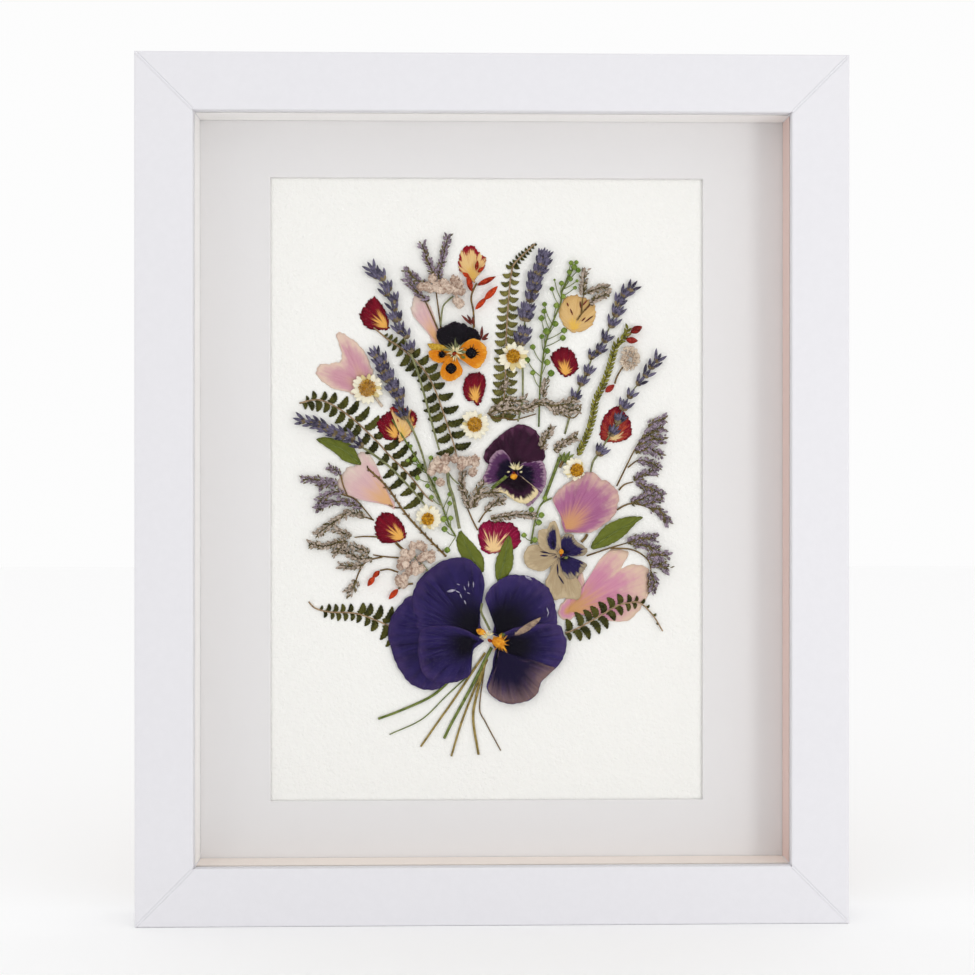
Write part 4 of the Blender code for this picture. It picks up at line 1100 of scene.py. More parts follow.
@dataclass
class LoosePetals:
    """Single petals: large pink and lilac ones, and those of roses."""

    paper: Paper
    wall: float = 0.14
    crown: float = 0.5
    ruffle: float = 0.16
    nicks: float = 0.24

    def lay(self, name: str, outline: list[Point], base: Point, height: Height, finish: Finish,
            solid: bool = True) -> None:
        """Lay one petal.

        Args:
            name: its node's name, or the piece's own where it has no node.
            outline: its rim.
            base: where its veins start.
            height: of its layer.
            finish: its colours.
            solid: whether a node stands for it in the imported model.
        """
        made = Specimen(name + "_blade", self.paper, (name,) if solid else (), self.wall)
        made.add(petal(outline, base, height.value, self.crown, self.ruffle, len(name), self.nicks),
                 finish)
        made.build()

    def large(self) -> None:
        """Lay the five large petals."""
        self.lay("petal_two_lobed", [
            (-68, 72), (-69.2, 70.2), (-68.2, 67.4), (-66.7, 62), (-67.2, 58.6), (-70.6, 57.8),
            (-76.8, 56.8), (-78.4, 53.8), (-77.2, 51), (-71.6, 46.6), (-64.4, 44.6), (-60, 43.2),
            (-56, 45.6), (-52.6, 52), (-53.2, 56.2), (-56.8, 63.8), (-61.2, 68.2), (-66, 71.4)], (-56, 46.8),
            Height.PAPER, Finish.PINK)
        self.lay("petal_pink_large", [
            (59.8, -27.6), (55.4, -28.8), (50.6, -34), (47.4, -42), (45, -44.6), (43.8, -38.6),
            (41.8, -39.4), (40.8, -46), (35.5, -50.8), (32.6, -56), (36, -60.6), (44, -57.4), (57, -60.6),
            (65, -60.2), (70.2, -55.2), (73.8, -48.8), (74.4, -39.2), (73.6, -36), (66, -34.6),
            (61.4, -36.6), (64.2, -31.6), (65, -28.8)], (37, -56), Height.PAPER, Finish.PINK_DEEP)
        self.lay("petal_pale_left", [
            (-68.4, 4.4), (-64.4, 9.4), (-60.4, 11.4), (-60, 15.2), (-56, 17.4), (-52, 13.2), (-48, 4.4),
            (-45.2, -1.6), (-41.6, -8.8), (-46.8, -7.2), (-54, -4.8), (-62, -4), (-68, 0)], (-43.6, -7.4),
            Height.PAPER, Finish.PALE)
        self.lay("petal_pale_top", [
            (-32.8, 89.6), (-28.4, 87), (-24.8, 81.2), (-22.6, 72), (-21.4, 66.2), (-24.6, 66), (-28.4, 74),
            (-34, 79.6), (-34.8, 82.8)], (-22.6, 66.6), Height.PAPER, Finish.PALE)
        self.lay("petal_lilac", [
            (44.4, 7.2), (48.6, 7.8), (52, 5), (56.4, 2.8), (60.2, -1.8), (59.8, -8.2), (57.6, -13),
            (52.4, -17), (47.6, -19.8), (38.4, -20), (34.8, -18.6), (33.2, -10.4), (30, -5.2), (31.6, -1.6),
            (36.4, 2.6)], (36.4, -17.6), Height.LOW, Finish.LILAC)

    def roses(self) -> None:
        """Lay the rose petals."""
        self.lay("rose_petal_cream_top", [
            (-11.2, 110.4), (-6.8, 111.8), (-3.2, 108), (-0.6, 106.2), (-1.6, 101.2), (-4.6, 97.6),
            (-6.4, 95), (-9.4, 98.6), (-12.6, 100), (-13.2, 105.2)], (-6.4, 96.2), Height.PAPER,
            Finish.CREAM)
        self.lay("rose_petal_crimson_top", [
            (-52.8, 87.8), (-50, 86.8), (-46, 80.4), (-45.2, 73.6), (-48.8, 73), (-54.8, 73.8), (-58.4, 79),
            (-56.6, 83.4)], (-46.4, 74.6), Height.PAPER, Finish.CRIMSON)
        self.lay("rose_petal_orange", [
            (39.2, 89.2), (44.4, 88), (49, 85.4), (49.6, 79), (46.6, 74), (40, 72.1), (35.4, 75),
            (32.8, 81.6), (35, 87)], (39.4, 73.4), Height.PAPER, Finish.ORANGE)
        self.lay("rose_petal_crimson_right", [
            (34, 65.2), (29.2, 61.4), (30.8, 57), (34, 52.6), (37.4, 51.9), (41.8, 55.6), (40, 62.2),
            (37, 64.8)], (35.8, 53), Height.PAPER, Finish.CRIMSON)
        self.lay("rose_petal_small", [
            (-7.2, 53.2), (-2.4, 53.1), (-0.6, 49), (-1.8, 43), (-4.2, 38.2), (-6.6, 40.4), (-9.2, 40.6),
            (-11.2, 45.4), (-10, 51)], (-5.4, 41), Height.LOW, Finish.CRIMSON)
        self.lay("rose_petal_cream_left", [
            (-44.8, 37.4), (-38.4, 37.2), (-32.8, 34.6), (-33, 28.8), (-37, 23.6), (-40.8, 22), (-40.4, 31)],
            (-39.4, 23.6), Height.LOW, Finish.CREAM)
        self.lay("rose_petal_crimson_left", [
            (-43.6, 36.4), (-50, 31.8), (-50, 28), (-47.4, 23.2), (-42, 22.8), (-40.2, 27), (-41.6, 33)],
            (-41.6, 24.4), Height.PAPER, Finish.CRIMSON, False)
        self.lay("rose_petal_bit", [
            (-34.6, 35.6), (-32.8, 34.8), (-32.2, 31.4), (-34, 30.2), (-35.2, 33)], (-34.4, 31),
            Height.HIGH, Finish.CRIMSON, False)
        self.lay("rose_petal_striped", [
            (60, 38.4), (55, 35.2), (52.4, 30), (52.4, 23), (59.8, 21.6), (66, 24.6), (65.8, 31.2),
            (63, 35.4)], (58.6, 23), Height.PAPER, Finish.STRIPED)
        self.lay("rose_petal_centre", [
            (-1.2, -14.9), (6, -14.8), (12, -16), (15.2, -21), (14, -26.4), (8, -28.6), (-0.4, -29.4),
            (-3.6, -25.2), (-4, -18.8)], (2.4, -28), Height.PAPER, Finish.MAGENTA)
        self.lay("rose_petal_crimson_low", [
            (-49.2, -11.6), (-44.4, -10.7), (-40, -14.2), (-37.6, -18.8), (-37.8, -22.6), (-44, -24.7),
            (-49.6, -23.6), (-51.6, -17)], (-39.2, -22.4), Height.PAPER,
            Finish.CRIMSON)

    def build(self) -> None:
        """Lay every loose petal."""
        self.large()
        self.roses()


@dataclass
class Leaves:
    """Four smooth leaves with a midrib."""

    paper: Paper
    midrib: float = 0.7
    wall: float = 0.14
    crown: float = 0.2
    ruffle: float = 0.16

    def leaf(self, name: str, outline: list[Point], rib: list[Point], height: Height) -> None:
        """Lay a leaf and its midrib."""
        made = Specimen(name + "_blade", self.paper, (name,), self.wall)
        middle = rib[len(rib) // 2]
        made.add(petal(outline, middle, height.value, self.crown, self.ruffle, len(name)), Finish.LEAF)
        made.add(tube(rib, self.midrib, height.value + 0.15, 0.4), Finish.STALK_GREEN)
        made.build()

    def build(self) -> None:
        """Lay all four."""
        self.leaf("leaf_left", [
            (-78.2, 23), (-73.2, 23.8), (-66, 22.2), (-61.6, 20), (-59.4, 15.6), (-58, 11.2), (-65.2, 12.8),
            (-70, 16.8), (-75, 20.2)], [(-58.4, 11.8), (-66, 18.2), (-77.4, 22.8)],
            Height.LOW)
        self.leaf("leaf_right", [
            (71.4, -12.8), (64.4, -12.6), (56.8, -15.2), (52, -19), (47.4, -27), (54, -26.4), (60.8, -23),
            (65.2, -19), (68.4, -15.4)], [(47.8, -26.8), (58, -20), (70.8, -12.9)],
            Height.MIDDLE)
        self.leaf("leaf_centre_left", [
            (-12.4, -19), (-14.2, -23.6), (-12.8, -29.2), (-8, -37), (-2.2, -38.4), (-1.6, -32),
            (-4.8, -26.8), (-10.4, -20.8)], [(-3, -37.6), (-8, -29), (-12.2, -19.8)], Height.PAPER)
        self.leaf("leaf_centre_right", [
            (9.8, -21.2), (6, -27.6), (3.6, -34.8), (4.8, -42.4), (10, -38.8), (12, -33.2), (11.4, -24.8)],
            [(5, -41.6), (8, -32), (9.9, -22)], Height.LOW)


@dataclass
class Ferns:
    """Five fern fronds: a rachis with rows of eared leaflets."""

    paper: Paper
    rachis: float = 0.75
    wall: float = 0.1
    slender: float = 0.56
    ear: float = 0.55
    narrowest: float = 1.3
    overlap: float = 1.12
    stagger: float = 0.6
    resolution: int = 260

    def frond(self, name: str, path: list[Point], leaflets: list[tuple], height: Height,
              finish: Finish, widest: float = 3.3, bow: float = 0.11,
              dark: float = 0.0) -> None:
        """Lay a frond.

        Args:
            name: of its node.
            path: its rachis, from one end to the other.
            leaflets: middle x, middle z and length of each leaflet.
            height: of its layer.
            finish: its green.
            widest: width of its widest leaflet.
            bow: how far the leaflets curl to the tip, as a share of their length.
            dark: share of the path, from its start, with leaflets in the darker green.
        """
        dense = smooth_curve(path, self.resolution, False)
        data = rows_of(leaflets)
        nearest = np.linalg.norm(data[:, None, :2] - dense[None], axis=2).argmin(axis=1)
        roots = dense[nearest]
        ahead = data[:, :2] - roots
        half = np.maximum(np.linalg.norm(ahead, axis=1), 0.6)
        ahead /= half[:, None]
        reach = np.maximum(data[:, 2], 1.8 * half) * self.overlap
        tips = roots + ahead * reach[:, None]
        tangent = np.gradient(dense, axis=0)[nearest]
        side = np.sign(ahead[:, 0] * tangent[:, 1] - ahead[:, 1] * tangent[:, 0])
        widths = np.clip(reach * self.slender, self.narrowest, widest)
        made = Specimen(name + "_leaflets", self.paper, (name,), self.wall)
        made.add(tube(path, self.rachis, height.value + 0.2, 0.9), Finish.STALK_TAN)
        curl = bow * reach * side
        young = nearest < dark * self.resolution
        for group, colour in ((young, Finish.FERN), (~young, finish)):
            if group.any():
                made.add(blades(roots[group], tips[group], widths[group], height.value, curl[group],
                                len(name), self.ear), colour)
        made.build()

    def paired(self, path: list[Point], count: int, start: float, low: float, high: float,
               lean: float) -> list[tuple]:
        """Place leaflets in pairs along a rachis, growing from low to high in length.

        Args:
            path: the rachis, from its tip.
            count: how many pairs.
            start: the share of the path before the first pair.
            low: length of the first.
            high: length of the last.
            lean: how far they lean to the tip, in radians off square.

        Returns:
            Middle x, middle z and length of each leaflet.
        """
        places, ahead = along_path(path, count, start)
        lengths = low + (high - low) * np.sqrt(np.linspace(0.0, 1.0, count))
        both = []
        for sign in (1.0, -1.0):
            out = turned(-ahead, np.full(count, sign * (math.pi / 2 - lean)))
            middles = places + ahead * sign * self.stagger + out * (lengths / 2)[:, None]
            both += [(x, z, size) for (x, z), size in zip(middles, lengths)]
        return both

    def build(self) -> None:
        """Lay all five."""
        self.frond("fern_centre", [
            (-52, 74), (-46, 69), (-40, 65), (-35.2, 61), (-30, 55.8), (-26.4, 50.6), (-23.2, 43.8),
            (-20.8, 37), (-18.4, 29.8), (-15.6, 21.4), (-14, 15.2)], [
            (-46.4, 70.6, 2), (-44.4, 69.8, 2.4), (-42.4, 68.2, 3), (-39.6, 67, 4), (-36.2, 65, 4.6),
            (-32.8, 62.6, 5), (-29.2, 59.4, 5.5), (-25.6, 55.8, 6), (-24.4, 51.8, 5.5), (-23.6, 47.4, 5),
            (-19, 43, 6), (-16.8, 37, 7), (-14.8, 31, 7.5), (-13.2, 25.8, 7), (-11.2, 20.4, 7),
            (-44.8, 67, 2.6), (-42.8, 65, 3), (-40.4, 62.6, 4), (-37.6, 59.4, 6), (-34.8, 57, 6),
            (-32, 54.4, 5.6), (-29.2, 51.4, 5), (-28, 47, 5.5), (-26.4, 41.8, 6.5), (-25.2, 37.4, 7.5),
            (-23.2, 33.4, 7), (-21.6, 28.2, 7), (-20, 23.4, 6.5), (-19.2, 17.6, 8)], Height.LOW, Finish.FERN)
        olive = [(21.8, 112.6), (15.6, 106.8), (12, 102.8), (10.8, 97.6), (10.2, 92), (9.6, 84.8),
                 (9.2, 78.8), (8.8, 72), (8.5, 64), (8.4, 56), (8.2, 48), (7.6, 40), (7.2, 33)]
        self.frond("fern_olive", olive,
                   self.paired(olive[:3], 8, 0.06, 1.2, 2.2, 0.9)
                   + self.paired(olive, 19, 0.18, 3.0, 5.4, 0.35), Height.PAPER,
                   Finish.FERN_OLIVE, 3.2, 0.2, 0.17)
        self.frond("fern_left", [
            (-86, 39.4), (-78, 41), (-70.8, 38.6), (-62, 32.6), (-52, 23.4), (-44.8, 15.6), (-36, 6.8),
            (-28, -3.2), (-24.8, -5.6)], [
            (-82.6, 41.4, 2.4), (-79.6, 43, 3), (-75, 42.2, 4), (-70.8, 41.8, 4.5), (-66, 39.8, 5.5),
            (-61.6, 37.8, 6.5), (-57.2, 34.6, 7.5), (-52.8, 30.6, 8), (-48.4, 26.6, 8), (-43.2, 21.6, 8),
            (-39.6, 18, 8), (-36, 14, 8), (-32.4, 9, 7), (-83.6, 38.2, 1.8), (-80.8, 38.2, 2.4),
            (-77.6, 38.2, 3), (-74, 37.4, 4.5), (-70.8, 35.8, 5), (-67.2, 33.4, 6), (-63.6, 29.8, 7),
            (-60, 27.4, 7), (-56, 23.4, 7), (-52.4, 19.6, 7), (-48, 13.6, 6), (-44.6, 8.6, 5), (-41.4, 4, 5),
            (-36.4, 0, 6), (-34, -5.2, 6)], Height.PAPER,
            Finish.FERN)
        self.frond("fern_low_left", [
            (-81.8, -51.4), (-78.8, -54.4), (-72, -56.2), (-60.4, -56.8), (-50, -60.4), (-42, -64)], [
            (-76, -54.2, 1.8), (-72.8, -54.2, 2.2), (-69.6, -54.4, 2.8), (-66.4, -54.4, 3),
            (-62.8, -54.4, 3.5), (-57.6, -54.6, 3.8), (-54.4, -55.2, 3.8), (-50, -56.4, 5.5),
            (-45.4, -57.6, 5), (-74.4, -57.4, 2), (-71.2, -58, 2.6), (-68.4, -58.4, 3), (-65.2, -58.4, 3.2),
            (-62, -58.4, 3.4), (-59.2, -59.2, 3.8), (-55.2, -60.4, 4), (-52, -62, 5), (-47.6, -65.6, 6.5),
            (-44.6, -68, 5)], Height.PAPER, Finish.FERN)
        self.frond("fern_low_right", [
            (35.6, -66), (41, -64), (50.6, -58.8), (59.8, -53.4), (65, -52.2), (70.2, -52.2), (76.2, -58),
            (80.6, -65.2)], [
            (37, -62.4, 4), (42, -60, 6.5), (45.8, -58, 5.5), (49, -56.6, 5.5), (52.6, -54.2, 5),
            (56.6, -52.2, 5), (60.6, -50.4, 4.5), (65, -50.2, 3), (68.4, -50.8, 2.6), (71.6, -51.4, 2.5),
            (37.4, -67.6, 3.5), (41.6, -67, 5), (45, -65.6, 6.5), (49.8, -63.4, 6), (53.4, -61.2, 5.5),
            (57, -58, 5), (60.6, -55.6, 4.5), (64.6, -54, 3.5), (67.6, -53.4, 3), (73.6, -54, 1.8),
            (76.8, -57.8, 1.6), (78.2, -61.6, 1.6)], Height.LOW, Finish.FERN)


@dataclass
class Lavenders:
    """Six lavender stems: buds along an axis, in whorls that open into fans, and a stalk."""

    paper: Paper
    bud_width: float = 1.7
    bud_length: float = 5.0
    spread: float = 0.95
    stalk: float = 1.1

    def stem(self, name: str, axis: list[Point], whorls: list[tuple], stalk: list[Point],
             height: Height) -> None:
        """Lay a stem of lavender.

        Args:
            name: of its node.
            axis: the flowering part, from its foot to its tip.
            whorls: x, z and width of each whorl of buds.
            stalk: the bare part, from the lowest whorl down.
            height: of the layer.
        """
        random = np.random.default_rng(SEED + len(name) + int(abs(axis[0][0])))
        line, ahead = along_path(axis, 120)
        roots, tips, calyx_roots, calyx_tips = [], [], [], []
        for x, z, width in whorls:
            facing = ahead[np.linalg.norm(line - (x, z), axis=1).argmin()]
            count = max(3, round(width))
            share = np.linspace(-0.5, 0.5, count)
            out = turned(np.repeat(facing[None], count, 0), -share * self.spread)
            across = turned(np.repeat(facing[None], count, 0), np.full(count, -math.pi / 2))
            foot = rows_of([(x, z)]) + across * (share * width * 0.45)[:, None] - facing * 1.8
            size = self.bud_length * random.uniform(0.8, 1.15, count)[:, None]
            roots.append(foot)
            tips.append(foot + out * size)
            calyx_roots.append(foot - out * 1.2)
            calyx_tips.append(foot + out * size * 0.4)
        made = Specimen(name + "_buds", self.paper, (name,))
        made.add(tube(axis, self.stalk * 0.8, height.value, 0.5), Finish.STALK)
        made.add(tube(stalk, self.stalk, height.value, 0.8), Finish.STALK)
        made.add(beads(np.vstack(calyx_roots), np.vstack(calyx_tips), self.bud_width * 0.95,
                       height.value + 0.15, 0.7, 0.2, 1), Finish.LAVENDER_OLIVE)
        made.add(beads(np.vstack(roots), np.vstack(tips), self.bud_width, height.value + 0.4, 0.7,
                       0.25, len(name)), Finish.LAVENDER)
        made.build()

    def build(self) -> None:
        """Lay all six."""
        self.stem("lavender_upper_left", [
            (-35, 61.5), (-39, 72), (-43, 83), (-46, 91), (-48.5, 96), (-52.5, 102)], [
            (-35.4, 65, 4), (-37.4, 71.4, 3.4), (-40.4, 73.6, 4), (-41.8, 79, 6.5), (-43, 83.6, 3.4),
            (-42.8, 87.4, 3.6), (-46.6, 90.6, 3.4), (-45.6, 93, 3.6), (-48.6, 97.6, 4), (-51.4, 98.6, 3.6),
            (-53, 101.2, 3)],
            [(-35, 62), (-32, 54), (-28.5, 42), (-24.5, 27), (-22, 18)], Height.MIDDLE)
        self.stem("lavender_upper_middle", [
            (14.6, 65), (16.4, 72), (17.8, 80), (20, 88), (21.6, 96), (24.4, 102), (26.6, 108)], [
            (15.4, 68.4, 7.6), (17, 72.4, 7), (17.6, 79.6, 8.6), (18.4, 83, 7), (20, 88.2, 5),
            (21.2, 92.6, 8), (21.6, 96.4, 7.6), (23.8, 100.4, 7), (25.4, 104.4, 8), (26, 107.6, 6)],
            [(14, 66), (16, 57.8), (16.2, 42), (15.8, 39), (14, 31)], Height.MIDDLE)
        self.stem("lavender_left_long", [
            (-38, 33), (-41.2, 40), (-44, 46), (-46.4, 52), (-49, 58), (-51.6, 63)], [
            (-38.4, 34.4, 4.4), (-40.4, 38.6, 4), (-40.6, 43.6, 7), (-43.4, 47, 8), (-45.6, 51.6, 7.4),
            (-47.6, 55.4, 6.6), (-48.8, 59, 7), (-51.4, 62.2, 4)], [(-38, 34), (-34, 27), (-30, 16.8),
            (-26.8, 5.2), (-22.8, -4), (-20, -8.8)],
            Height.MIDDLE)
        self.stem("lavender_far_left", [
            (-56, 18.4), (-62, 22.4), (-68, 25.2), (-74, 28), (-80, 30.2), (-87, 32.4)], [
            (-59, 20.8, 3.4), (-63, 23.6, 4.2), (-67, 25, 4.6), (-71, 26.4, 4.6), (-75, 28.4, 4.8),
            (-78.4, 30, 4.4), (-81.8, 30.8, 3), (-85.6, 31.6, 2.6)], [(-56, 18.6), (-50, 14.4), (-44.4, 10),
            (-38.8, 4.4), (-30.8, -4.4), (-22.8, -15.2)],
            Height.MIDDLE)
        self.stem("lavender_right_thin", [
            (40, 41), (43, 48), (46, 55), (49, 62), (53, 68), (56, 74), (59, 81), (63, 89), (67, 94)], [
            (40.6, 42.8, 3.6), (43.6, 50, 4.4), (46.4, 54.6, 3.6), (48.4, 62, 3), (52, 64.4, 3.6),
            (54.6, 69.6, 3.6), (57.6, 76.6, 4), (59.6, 81.6, 4.6), (60.8, 86.4, 4.6), (63.6, 90.4, 4.2),
            (66.4, 92.8, 3)],
            [(40, 41), (38.8, 37), (37.4, 31.8), (35.6, 25.4)], Height.PAPER)
        self.stem("lavender_right_long", [
            (51, 16), (54.6, 22), (57.8, 27), (60.4, 32), (62.8, 38), (66.6, 45), (71, 50), (75, 55),
            (79, 61.4)], [
            (52.2, 17.8, 5.4), (57.8, 26.8, 3.8), (60.6, 32.6, 4.6), (63, 38.6, 5.4), (66.2, 44, 3.4),
            (70.4, 49.8, 3), (73.6, 53.4, 3.4), (76, 57.4, 3.4), (78.6, 60.4, 2.6)],
            [(51.4, 16.6), (48.6, 12.8), (47.4, 8)], Height.LOW)


@dataclass
class Statice:
    """Papery sprays: thin twigs crowded with small florets."""

    paper: Paper
    twig: float = 0.8

    def spray(self, name: str, stems: list[list[Point]], arms: list[tuple], height: Height,
              colour: Finish, replaces: tuple[str, ...] = (), density: float = 5.0) -> None:
        """Lay a spray.

        Args:
            name: of the piece.
            stems: bare twigs.
            arms: path and width of each twig that carries florets.
            height: of the layer.
            colour: of the papery florets.
            replaces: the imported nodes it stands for.
            density: florets to a millimetre.
        """
        made = Specimen(name, self.paper, replaces)
        for path in stems:
            made.add(tube(path, self.twig, height.value, 0.7), Finish.STALK_BROWN)
        for index, (path, width) in enumerate(arms):
            made.add(tube(path, width * 0.34, height.value, 0.5), Finish.STATICE_OLIVE)
            papery, calyx = florets(path, width, height.value + 0.15, index + len(name), density)
            made.add(papery, colour)
            made.add(calyx, Finish.STATICE_OLIVE)
        made.build()

    def left(self) -> None:
        """Lay the sprays on the left side."""
        self.spray("statice_upper_left_florets", [
            [(-21.2, 73.6), (-22.6, 84), (-24, 94)], [(-22.4, 72.8), (-26, 81), (-30, 89.6)]], [
            ([(-22.8, 96), (-20.4, 106), (-18, 116)], 3.4), ([(-24, 97.6), (-27.4, 105), (-30, 112.4)], 3.2),
            ([(-25, 91), (-30, 94.4), (-37.6, 100)], 3.8),
            ([(-26.4, 86.6), (-30.4, 88.8), (-37.6, 96.4)], 2.8)], Height.LOW,
            Finish.STATICE_LILAC, ("statice_upper_left",))
        self.spray("statice_left_upper_florets", [
            [(-66, -2.4), (-60, -5), (-52, -14.4)], [(-67, 6.4), (-66, 2), (-64, -3)]], [
            ([(-69, 3), (-78, 4.4), (-84.4, 4.4)], 3.4), ([(-69, 1.4), (-73, 3), (-77, 1)], 4.4),
            ([(-67, 6.4), (-69.6, 9), (-72.4, 10.2)], 3.0), ([(-66, -2.4), (-70, -1.2), (-77.6, -5.2)], 3.0),
            ([(-57.2, -8.4), (-66, -5.6), (-74, -6.8), (-78.4, -9.2)], 3.2)], Height.LOW,
            Finish.STATICE_LILAC)
        self.spray("statice_left_middle_florets", [
            [(-52, -14), (-55.6, -12.8), (-61.2, -10.8)], [(-50, -21.8), (-56, -21.6), (-60.8, -22)]], [
            ([(-64.4, -11.2), (-68.4, -14), (-72.8, -16.8), (-78, -20.8)], 3.2), ([(-55.6, -12.8),
            (-61.2, -10.8), (-64.4, -10.8)], 2.6), ([(-64.4, -23.6), (-69.2, -24.4), (-74, -26),
            (-81.6, -25)], 3.6), ([(-64, -24), (-68.4, -28), (-70.4, -29.6)], 2.8),
            ([(-62, -21.2), (-66, -20), (-70, -18)], 2.8)], Height.LOW, Finish.STATICE_BEIGE)
        self.spray("statice_left_low_florets", [
            [(-40.6, -31.4), (-47.6, -30.8), (-52.4, -30)], [(-48, -31), (-54, -32.4), (-56.8, -34.4)],
            [(-56.8, -34.4), (-58.8, -38), (-60.4, -42.4)]], [
            ([(-54, -29.2), (-58, -27.6), (-62, -25.6)], 3.0), ([(-52.8, -31.6), (-58.8, -31.6), (-66, -28)],
            3.0), ([(-57, -34.6), (-62, -35.2), (-67.6, -34.8)], 3.2),
            ([(-60.2, -41.6), (-62, -46), (-64.4, -47.6)], 4.0)], Height.PAPER,
            Finish.STATICE_BEIGE, ("statice_left_low",))

    def right(self) -> None:
        """Lay the sprays on the right side."""
        self.spray("statice_right_upper_florets", [
            [(59.4, 1.4), (63, 8.8), (67.4, 17.6), (72.6, 26), (75, 30.4)],
            [(64.6, 10), (68.2, 12.8), (71, 14)]], [
            ([(74, 29), (78.4, 31.4), (82, 32.6)], 4.4), ([(71.6, 24), (76, 26.6), (81, 28.4)], 5.4),
            ([(69.4, 20.4), (75, 22.6), (81.4, 23)], 5.2), ([(68, 17), (74, 18.4), (80, 15.6)], 5.2),
            ([(69, 13), (74, 12.6), (79, 10)], 4.2)], Height.LOW, Finish.STATICE_LILAC,
            ("statice_right_upper",), 5.5)
        self.spray("statice_right_middle_florets", [[(60.4, -0.4), (63.2, 2.2), (67.2, 3.4)]], [
            ([(67.4, 4), (73, 7.6), (78, 7.8)], 3.4),
            ([(68.8, 3.4), (73.6, 1), (80.8, -2.8)], 5.0)], Height.PAPER, Finish.STATICE_LILAC,
            ("statice_right_middle",), 5.5)
        self.spray("statice_right_arc_florets", [
            [(59.6, -9.6), (62.8, -7.6), (67.2, -6.6), (75.2, -9), (83.2, -16.2)]], [
            ([(66, -6), (71, -4.4), (74.6, -2)], 4.0), ([(71.6, -7), (76, -6), (79.4, -4.6)], 4.6),
            ([(75.2, -9), (79.4, -10), (83.2, -15.6)], 4.6)], Height.PAPER, Finish.STATICE_LILAC,
            (), 5.5)
        self.spray("statice_right_low_florets", [
            [(45.6, -30.6), (55.6, -27.2), (64.4, -24.6)], [(56.4, -27), (66.8, -27.8), (73.6, -32.2),
                                                           (75.2, -38), (73.6, -44)]], [
            ([(64.4, -24.6), (70, -22.6), (77.6, -22.4)], 5.0), ([(67, -25.6), (72, -25.6), (78, -27.6)],
            4.6), ([(73.4, -31.6), (78, -30), (83.2, -30.6)], 5.0), ([(75, -35), (79, -34.4), (83.4, -37)],
            5.2),
            ([(75, -38), (76.6, -42), (75.4, -47)], 4.0)], Height.LOW, Finish.STATICE_LILAC,
            ("statice_right_low",), 5.5)

    def middle(self) -> None:
        """Lay the sprays in the middle and at the top right."""
        self.spray("statice_top_right_florets", [
            [(41.2, 77.6), (43.2, 80.4), (47, 85)], [(43.2, 80.4), (43.6, 86), (44.4, 90)]], [
            ([(44.2, 89), (44, 94), (45, 100.5)], 3.0), ([(46, 89.8), (50, 92), (55.6, 92.8)], 3.0),
            ([(47, 85), (51, 88), (56.2, 89.6)], 3.0)], Height.LOW, Finish.STATICE_BEIGE)
        self.spray("statice_centre_florets", [
            [(0, 35), (3.2, 32.6), (8, 32.6), (12, 31.8), (17.2, 33), (22.4, 34.6)],
            [(31.2, 36.6), (34.4, 34.6), (37.2, 33), (40, 33), (42.4, 35.8), (43, 37.8)]], [
            ([(1, 34.6), (5, 37.6), (9, 39)], 3.4), ([(6, 45.4), (8, 47.4), (9.6, 49)], 2.6), ([(8, 40.6),
            (13, 40.4), (17.6, 41.4)], 3.6), ([(4, 36), (12, 36), (20, 37.4)], 3.8), ([(18, 36.6),
            (24.8, 39.8), (31.2, 37.6)], 4.4), ([(28, 38.2), (35, 38.6), (40, 41.6)], 5.6), ([(25.6, 42.2),
            (26, 46), (26.8, 49.8)], 2.6), ([(30, 36), (36, 35.4), (42, 37)], 4.0)],
            Height.MIDDLE, Finish.STATICE_BEIGE)
        self.spray("statice_under_centre_florets", [[(23.6, 16), (25.6, 20), (27, 24)]], [
            ([(24.6, 18.4), (26.6, 23.4), (29.4, 28.4)], 4.4),
            ([(30.6, 17.8), (35, 21), (41, 24.4)], 4.4)], Height.PAPER, Finish.STATICE_BEIGE)
        self.spray("statice_middle_florets", [
            [(-4.4, -18.8), (-7.2, -13.2), (-10.4, -5.2), (-12.4, 1.2)],
            [(-8, -8.8), (-4, -5), (3.2, -0.8)], [(-4, -15.2), (-0.8, -10.4), (4, -6)]], [
            ([(-8, -8.8), (-11.6, 2), (-11.2, 8.8)], 3.4), ([(-6.4, -8.4), (-5.2, -4.8), (-1.6, -2),
            (8.4, -1.4)], 3.6), ([(-6, -5), (-4.4, -1), (-1.6, 2.6)], 5.0), ([(-0.8, -10.4), (4, -6),
            (8, -5.2)], 3.2),
            ([(1.6, -13.6), (8, -12.4), (16, -11.6), (21.6, -12.4)], 3.4)], Height.LOW,
            Finish.STATICE_BEIGE)

    def build(self) -> None:
        """Lay every spray."""
        self.left()
        self.right()
        self.middle()


